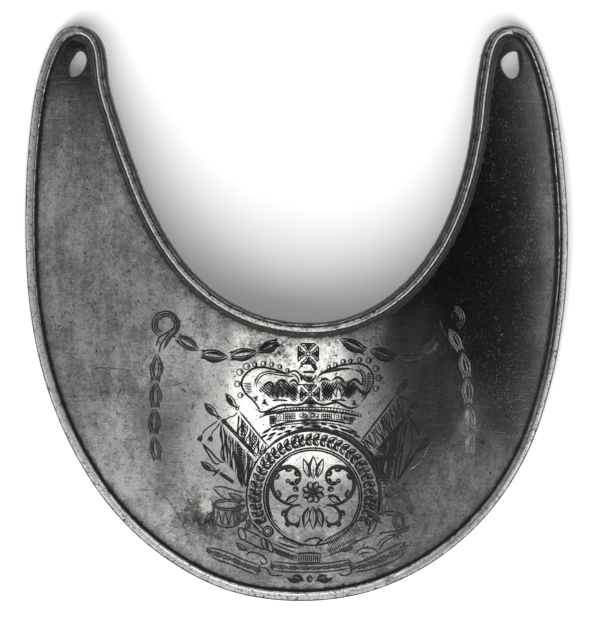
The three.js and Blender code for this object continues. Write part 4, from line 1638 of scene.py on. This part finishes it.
def draw_ribbons(engraver):
    """Three ribbons with curled ends and a row of small leaves and dots along each, and a sprig
    below the middle one."""
    cuts = engraver.cuts
    for upper, lower, count in RIBBONS:
        for edge in (upper, lower, [upper[0], lower[0]], [upper[-1], lower[-1]]):
            engraver.cut(edge, cuts.line, tone=0.85)
        tops, feet = spread(upper, count), spread(lower, count)
        for number, (a, b) in enumerate(zip(tops, feet)):
            if number % 3 == 1:
                engraver.circle((a + b) / 2, 0.22, cuts.fine, 0.8)
            elif number % 3 == 2:
                leaf(engraver, 0.75 * a + 0.25 * b, 0.25 * a + 0.75 * b, 0.8, 1, 0.8)
            else:
                leaf(engraver, 0.25 * a + 0.75 * b, 0.75 * a + 0.25 * b, 0.8, -1, 0.8)
    draw_lines(engraver, (
        (cuts.line, "even", [(-11.4, -53.9), (-10.8, -52.8), (-9.2, -52.9), (-7.4, -53.9),
                             (-6.8, -55.1), (-7.8, -55.4), (-8.3, -54.6), (-7.8, -54.2)]),
        (cuts.line, "even", [(-8.4, -56.0), (-6.6, -56.6), (-6.0, -57.8), (-3.2, -57.9)]),
        (cuts.line, "even", [(9.2, -57.3), (9.6, -57.9), (11.6, -57.6), (12.0, -56.6)]),
        (cuts.line, "even", [(12.8, -53.3), (13.6, -52.2), (15.6, -51.8), (17.2, -52.2),
                             (17.7, -53.2)]),
        (0.45, "swell", [(13.0, -53.6), (14.6, -52.9), (16.6, -53.0)]),
        (cuts.line, "even", [(18.0, -52.4), (19.0, -50.6), (21.2, -49.4), (23.2, -48.9)]),
        (0.70, "swell", [(19.6, -49.2), (22.2, -48.6), (24.4, -47.6), (24.7, -46.8)]),
        (0.45, "swell", [(21.6, -49.0), (22.4, -50.0)]),
        (0.40, "swell", [(17.6, -51.4), (18.6, -50.0), (20.2, -49.2)]),
    ), 0.85)
    middle = 2.7
    for side in (-1, 1):
        leaf(engraver, (middle + 1.4 * side, -59.0), (middle + 3.8 * side, -57.9), 0.9, side)
        leaf(engraver, (middle + 1.8 * side, -59.1), (middle + 5.0 * side, -58.9), 0.8, -side)
        engraver.cut([(middle + 0.8 * side, -59.2), (middle + 2.6 * side, -59.1),
                      (middle + 5.4 * side, -58.4)], cuts.fine)
    leaf(engraver, (middle, -59.6), (middle, -57.8), 1.0, 1)


# Scratches that later wear has left: hardly deep, and clean
SCRATCHES = [
    # width, guide points
    (0.22, [(-50.9, 20.6), (-45.0, 15.8), (-40.8, 12.0), (-33.7, 3.2)]),
    (0.18, [(-55.8, 12.5), (-53.6, 9.2), (-52.2, 6.7)]),
    (0.22, [(-50.9, -15.3), (-45.4, -12.2), (-35.7, -12.5)]),
    (0.26, [(-34.5, -32.8), (-34.5, -38.3)]),
    (0.22, [(-30.8, -38.3), (-27.0, -43.6), (-23.8, -49.5)]),
    (0.18, [(-36.1, -39.2), (-33.4, -39.0), (-30.8, -39.2)]),
    (0.24, [(-29.7, -16.2), (-26.0, -15.4), (-22.4, -13.9)]),
    (0.40, [(-25.5, -16.2), (-24.3, -17.6)]),
    (0.20, [(-28.5, -32.7), (-26.2, -32.9)]),
    (0.24, [(28.9, -29.0), (27.5, -32.0), (24.2, -35.0)]),
    (0.18, [(-44.2, 30.2), (-42.4, 24.8), (-41.8, 18.2)]),
    (0.18, [(-16.4, -5.0), (-14.8, -6.6), (-14.0, -7.2)]),
]


def draw_scratches(engraver):
    """Later scratches: wide in the middle, with no dirt in them."""
    for width, points in SCRATCHES:
        engraver.cut(points, width, "swell", 0.0)


DRAWINGS = (draw_garlands, draw_crown, draw_trophy, draw_strap, draw_cannon, draw_ribbons,
            draw_scratches)


class Nodes:
    """Adds nodes to one tree."""

    def __init__(self, tree):
        self.tree = tree

    def add(self, kind, settings=None, **inputs):
        """A node of a type: its settings are set first, then its sockets' values or links."""
        node = self.tree.nodes.new(kind)
        for name, value in (settings or {}).items():
            setattr(node, name, value)
        for name, value in inputs.items():
            self.feed(node, name.replace("_", " "), value)
        return node

    def feed(self, node, name, value):
        """Links a socket or sets its value. A name may be a socket's number."""
        socket = node.inputs[int(name)] if name.isdigit() else node.inputs[name]
        if isinstance(value, Value):
            value = value.socket
        if isinstance(value, bpy.types.NodeSocket):
            self.tree.links.new(value, socket)
        else:
            socket.default_value = value

    def math(self, operation, *values):
        """One Math node on sockets or numbers."""
        node = self.tree.nodes.new("ShaderNodeMath")
        node.operation = operation
        for number, value in enumerate(values):
            self.feed(node, str(number), value)
        return Value(self, node.outputs[0])

    def value(self, node, output=0):
        """A node's output, ready for sums."""
        return Value(self, node.outputs[output])

    def mix(self, share, a, b):
        """A colour between two."""
        node = self.tree.nodes.new("ShaderNodeMix")
        node.data_type = "RGBA"
        self.feed(node, "0", share)
        self.feed(node, "6", a)
        self.feed(node, "7", b)
        return node.outputs[2]

    def noise(self, place, scale, detail=2.0, roughness=0.5, distortion=0.0):
        """Noise between 0 and 1 round 0.5; the scale is how many times it repeats in a metre."""
        node = self.add(
            "ShaderNodeTexNoise", Vector=place, Scale=scale, Detail=detail,
            Roughness=roughness, Distortion=distortion)
        return self.value(node)

    def ramp(self, value, low, high):
        """How far a value has come from low to high, from 0 to 1."""
        node = self.tree.nodes.new("ShaderNodeMapRange")
        node.interpolation_type = "SMOOTHSTEP"
        for name, entry in (("Value", value), ("From Min", low), ("From Max", high)):
            self.feed(node, name, entry)
        return Value(self, node.outputs[0])


class Value:
    """A socket that can be added, multiplied and so on, each adding its Math node."""

    def __init__(self, nodes, socket):
        self.nodes = nodes
        self.socket = socket

    def __add__(self, other):
        return self.nodes.math("ADD", self, other)

    def __sub__(self, other):
        return self.nodes.math("SUBTRACT", self, other)

    def __rsub__(self, other):
        return self.nodes.math("SUBTRACT", other, self)

    def __mul__(self, other):
        return self.nodes.math("MULTIPLY", self, other)

    def __or__(self, other):
        """The greater of two."""
        return self.nodes.math("MAXIMUM", self, other)

    __radd__ = __add__
    __rmul__ = __mul__


def colour(setting):
    """A colour setting with full alpha."""
    return (*setting, 1.0)


# Families of fine score lines that years of rubbing have left
SCORE_LINES = [
    # heading in degrees, how much finer across than along, repeats in a metre
    (38, 16, 110),
    (-62, 18, 130),
    (8, 20, 90),
    (84, 22, 80),
]

# The noises that the finish is made of
PATTERNS = {
    # name: repeats in a metre, detail, roughness, distortion
    "clouds": (90, 5, 0.62, 0.5),
    "mottle": (620, 5, 0.7),
    "speck": (2000, 3, 0.6),
    "streaks": (420, 3, 0.6),
}
STREAK_SHORTENING = 0.14

# Where each mark starts and where it is full, on its pattern's scale; the grime holds painted shade
# and the rubbed mark painted highlight
TARNISH_RANGE = (0.38, 0.60)
SCORE_RANGE = (0.66, 0.72)
RIM_RANGE = (0.60, 0.95)
PIT_RANGE = (0.59, 0.66)
PIT_CLUSTER_RANGE = (0.44, 0.58)
RUBBED_AND_HIGHLIGHT_RANGE = (0.62, 0.46)
BRIGHT_SPECK_RANGE = (0.36, 0.31)
GRIME_AND_SHADE_RANGE = (0.35, 0.80)
FILLED_CUT_RANGE = (0.10, 0.45)

# How much of the colour under it each mark hides
COVER = {"tarnish": 0.9, "scores": 0.22, "pits": 0.9, "rubbed_and_painted_highlight": 0.75, "grime_and_painted_shade": 0.9, "cut": 0.97}

# How much rougher each mark makes the steel, how much less a metal dirt and painted shade are,
# how strong the relief is, and its height in metres
ROUGHER = {"tarnish": 0.06, "pits": 0.2, "dull": 0.3, "rim": 0.15}
DIRT_LESS_METAL = 0.6
RELIEF_STRENGTH = 0.35
RELIEF_HEIGHT = 0.00004


def score_lines(nodes, place):
    """Fine lines in several headings: the crests of noises that are drawn out along each."""
    scores = None
    for heading, stretch, scale in SCORE_LINES:
        turned = nodes.add(
            "ShaderNodeMapping", Vector=place, Rotation=(0, 0, np.radians(heading)),
            Scale=(1, stretch, 1)).outputs[0]
        line = nodes.ramp(nodes.noise(turned, scale, 2, 0.5), *SCORE_RANGE)
        scores = line if scores is None else scores | line
    return scores


def steel_material(finish):
    """Old steel: polished under a broken tarnish, dirty in grooves and cuts, bright on ridges, with
    painted shade in the rims' valleys and some stains, and painted highlight over the crown. The
    tarnish is a sum of noises from clouds to specks, more of it in dirt and painted shade and less
    on polish and painted highlight."""
    material = bpy.data.materials.new("Old steel")
    material.use_nodes = True
    material.node_tree.nodes.clear()
    nodes = Nodes(material.node_tree)
    place = nodes.add("ShaderNodeTexCoord").outputs["Object"]
    cut, dirt, polish_and_painted_highlight = (
        nodes.value(nodes.add("ShaderNodeAttribute", {"attribute_name": name}), "Fac")
        for name in ("cut", "dirt", "polish_and_painted_highlight"))
    drawn_out = nodes.add(
        "ShaderNodeMapping", Vector=place, Scale=(1, STREAK_SHORTENING, 1)).outputs[0]
    clouds = nodes.noise(place, *PATTERNS["clouds"])
    mottle = nodes.noise(place, *PATTERNS["mottle"])
    speck = nodes.noise(place, *PATTERNS["speck"])
    streaks = nodes.noise(drawn_out, *PATTERNS["streaks"])

    # Painted shade in the dirt attribute adds to the tarnish, and painted highlight in the polish
    # attribute takes from it
    tarnish = nodes.ramp(
        clouds * 0.25 + streaks * 0.2 + mottle * 0.3 + speck * 0.25
        + dirt * 0.22 - polish_and_painted_highlight * 0.18, *TARNISH_RANGE)
    scores = score_lines(nodes, place)
    rim = nodes.ramp(polish_and_painted_highlight, *RIM_RANGE)
    pits = nodes.ramp(speck + rim * 0.06, *PIT_RANGE) \
        * nodes.ramp(mottle + rim * 0.14, *PIT_CLUSTER_RANGE)
    # Rubbed: polished ridges and places, and painted highlight where the polish attribute's broad
    # bells lie
    rubbed_and_painted_highlight = polish_and_painted_highlight * nodes.ramp(mottle * 0.6 + speck * 0.4, *RUBBED_AND_HIGHLIGHT_RANGE)
    rubbed_and_painted_highlight = rubbed_and_painted_highlight | nodes.ramp(speck, *BRIGHT_SPECK_RANGE)
    # Grime: dirt, and painted shade in the rims' valleys and a few stains
    grime_and_painted_shade = nodes.ramp(dirt + (mottle - 0.5) * 1.2 + (speck - 0.5) * 0.5, *GRIME_AND_SHADE_RANGE)
    filled_cut = cut * nodes.ramp(mottle, *FILLED_CUT_RANGE)
    dull = grime_and_painted_shade | cut

    base = colour(finish.steel)
    for share, over in (
        (tarnish * COVER["tarnish"], finish.tarnish),
        (scores * COVER["scores"], finish.polished),
        (pits * COVER["pits"], finish.dirt),
        (rubbed_and_painted_highlight * COVER["rubbed_and_painted_highlight"], finish.polished),
        (grime_and_painted_shade * COVER["grime_and_painted_shade"], finish.dirt),
        (filled_cut * COVER["cut"], finish.dirt),
    ):
        base = nodes.mix(share, base, colour(over))
    roughness = (
        finish.roughness + tarnish * ROUGHER["tarnish"] + pits * ROUGHER["pits"]
        + dull * ROUGHER["dull"] + rim * ROUGHER["rim"])
    bump = nodes.add(
        "ShaderNodeBump", Strength=RELIEF_STRENGTH, Distance=RELIEF_HEIGHT,
        Height=(mottle * 0.6 + speck * 0.25) * (rim * 1.5 + 1.0) - pits * 0.8 - scores * 0.4)
    shader = nodes.add(
        "ShaderNodeBsdfPrincipled", Base_Color=base, Metallic=1.0 - dull * DIRT_LESS_METAL,
        Roughness=roughness, Normal=bump.outputs[0])
    output = nodes.add("ShaderNodeOutputMaterial")
    nodes.feed(output, "Surface", shader.outputs[0])
    return material


class GORGET_OT_plate(bpy.types.Operator):
    """Builds the engraved plate and gives it its finish"""

    bl_idname = "gorget.plate"
    bl_label = "Plate"

    def execute(self, context):
        scene = context.scene
        engraver = Engraver(scene.gorget_engraving)
        for draw in DRAWINGS:
            draw(engraver)
        piece = build_plate(scene.gorget_plate, engraver)
        piece.data.materials.append(steel_material(scene.gorget_finish))
        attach(piece, BODY)
        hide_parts(NODE)
        return {"FINISHED"}


# Soft lights round the plate. The floor takes two of its own, so that white paper and dark steel
# can share one picture.
LIGHTS = [
    # name, direction towards it, distance m, width m, height m, radiance, floor only
    ("Key softbox", (-0.06, -0.52, 0.85), 0.9, 0.56, 0.46, 1.40, False),
    ("Broad softbox", (-0.05, -0.59, 0.81), 1.0, 1.10, 0.90, 0.38, False),
    ("Left wall", (-0.85, -0.05, 0.52), 0.9, 0.80, 1.00, 0.41, False),
    ("Left fill", (-0.54, -0.45, 0.71), 0.9, 0.38, 0.38, 0.30, False),
    ("Lower left softbox", (-0.69, -0.64, 0.34), 0.9, 0.42, 0.34, 0.66, False),
    ("Front softbox", (-0.13, -0.87, 0.47), 1.0, 0.90, 0.30, 0.66, False),
    ("Lower right softbox", (0.59, -0.70, 0.39), 0.9, 0.54, 0.27, 0.31, False),
    ("Right fill", (0.58, -0.52, 0.63), 0.9, 0.50, 0.40, 0.05, False),
    ("Low right wall", (0.98, -0.05, 0.15), 0.9, 1.30, 0.19, 1.10, False),
    ("Low front right wall", (0.70, -0.70, 0.12), 1.0, 0.90, 0.14, 1.15, False),
    ("Low front wall", (0.00, -0.98, 0.17), 1.0, 0.90, 0.22, 1.30, False),
    ("Low front left wall", (-0.70, -0.70, 0.12), 1.0, 0.90, 0.14, 1.15, False),
    ("Overhead softbox", (0.01, 0.13, 0.99), 2.0, 0.70, 0.70, 2.20, False),
    ("Back wall", (0.0, 0.85, 0.53), 1.3, 1.30, 1.10, 0.55, False),
    ("Floor softbox", (-0.10, -0.64, 0.76), 1.7, 2.20, 2.20, 3.25, True),
    ("Floor fill", (0.00, 0.20, 1.00), 2.0, 2.60, 2.60, 0.50, True),
]


def area_light(name, towards, distance, width, height, radiance):
    """A soft rectangular light that faces the plate; its power follows from its radiance."""
    light = bpy.data.lights.new(name, "AREA")
    light.shape = "RECTANGLE"
    light.size = width
    light.size_y = height
    light.energy = radiance * np.pi * width * height
    lamp = bpy.data.objects.new(name, light)
    lamp.location = towards * distance
    lamp.rotation_euler = Vector(towards).to_track_quat("Z", "Y").to_euler()
    lamp.visible_camera = False
    bpy.context.scene.collection.objects.link(lamp)
    return lamp


# The camera, in metres: how high above the floor the view is measured, where its middle is, and
# how far it sees
VIEW_PLANE = 0.010
VIEW_MIDDLE = (-0.36 * MM, 0.22 * MM)
SIGHT = 20.0
SENSOR_WIDTH_MM = 36.0


class GORGET_OT_stage(bpy.types.Operator):
    """Builds the floor, the lights and the camera"""

    bl_idname = "gorget.stage"
    bl_label = "Stage"

    def execute(self, context):
        scene = context.scene
        stage = scene.gorget_stage
        half = stage.floor_size / 2
        me = bpy.data.meshes.new("Floor")
        me.from_pydata([(-half, -half, 0), (half, -half, 0), (half, half, 0), (-half, half, 0)],
                       [], [(0, 1, 2, 3)])
        floor = bpy.data.objects.new("Floor", me)
        scene.collection.objects.link(floor)
        material = bpy.data.materials.new("Floor paper")
        material.use_nodes = True
        shader = material.node_tree.nodes["Principled BSDF"]
        shader.inputs["Base Color"].default_value = colour(stage.floor_colour)
        shader.inputs["Roughness"].default_value = stage.floor_roughness
        shader.inputs["Specular IOR Level"].default_value = 0.0
        me.materials.append(material)

        takers = bpy.data.collections.new("Floor light takers")
        takers.objects.link(floor)
        for name, towards, distance, width, height, radiance, floor_only in LIGHTS:
            lamp = area_light(
                name, Vector(towards).normalized(), distance, width, height, radiance)
            if floor_only:
                lamp.light_linking.receiver_collection = takers

        world = bpy.data.worlds.new("Studio")
        scene.world = world
        world.use_nodes = True
        background = world.node_tree.nodes["Background"]
        background.inputs["Color"].default_value = colour(stage.room_colour)

        camera = bpy.data.cameras.new("Camera")
        camera.sensor_width = SENSOR_WIDTH_MM
        away = stage.camera_height - VIEW_PLANE
        camera.lens = camera.sensor_width * away / (stage.view_height * MM)
        camera.clip_end = SIGHT
        holder = bpy.data.objects.new("Camera", camera)
        holder.location = (*VIEW_MIDDLE, stage.camera_height)
        scene.collection.objects.link(holder)
        scene.camera = holder
        scene.view_settings.view_transform = "Standard"
        return {"FINISHED"}


class GORGET_PT_panel(bpy.types.Panel):
    """Lists the gorget's pieces and their settings"""

    bl_idname = "GORGET_PT_panel"
    bl_label = "Gorget"
    bl_space_type = "VIEW_3D"
    bl_region_type = "UI"
    bl_category = "Gorget"

    def draw(self, context):
        for key, operator in SETTINGS_SHOWN:
            box = self.layout.box()
            settings = getattr(context.scene, key)
            for name in settings.bl_rna.properties.keys():
                if name not in ("rna_type", "name"):
                    box.prop(settings, name)
            if operator:
                box.operator(operator)


SETTINGS_SHOWN = (
    ("gorget_plate", "gorget.plate"),
    ("gorget_engraving", None),
    ("gorget_finish", None),
    ("gorget_stage", "gorget.stage"),
)

SETTINGS = {
    "gorget_plate": GorgetPlateSettings,
    "gorget_engraving": GorgetEngravingSettings,
    "gorget_finish": GorgetFinishSettings,
    "gorget_stage": GorgetStageSettings,
}

CLASSES = (*SETTINGS.values(), GORGET_OT_plate, GORGET_OT_stage, GORGET_PT_panel)


def register():
    for cls in CLASSES:
        bpy.utils.register_class(cls)
    for key, cls in SETTINGS.items():
        setattr(bpy.types.Scene, key, bpy.props.PointerProperty(type=cls))


def unregister():
    for key in SETTINGS:
        delattr(bpy.types.Scene, key)
    for cls in reversed(CLASSES):
        bpy.utils.unregister_class(cls)


def main():
    register()
    bpy.ops.gorget.plate()
    bpy.ops.gorget.stage()


if __name__ == "__main__":
    main()
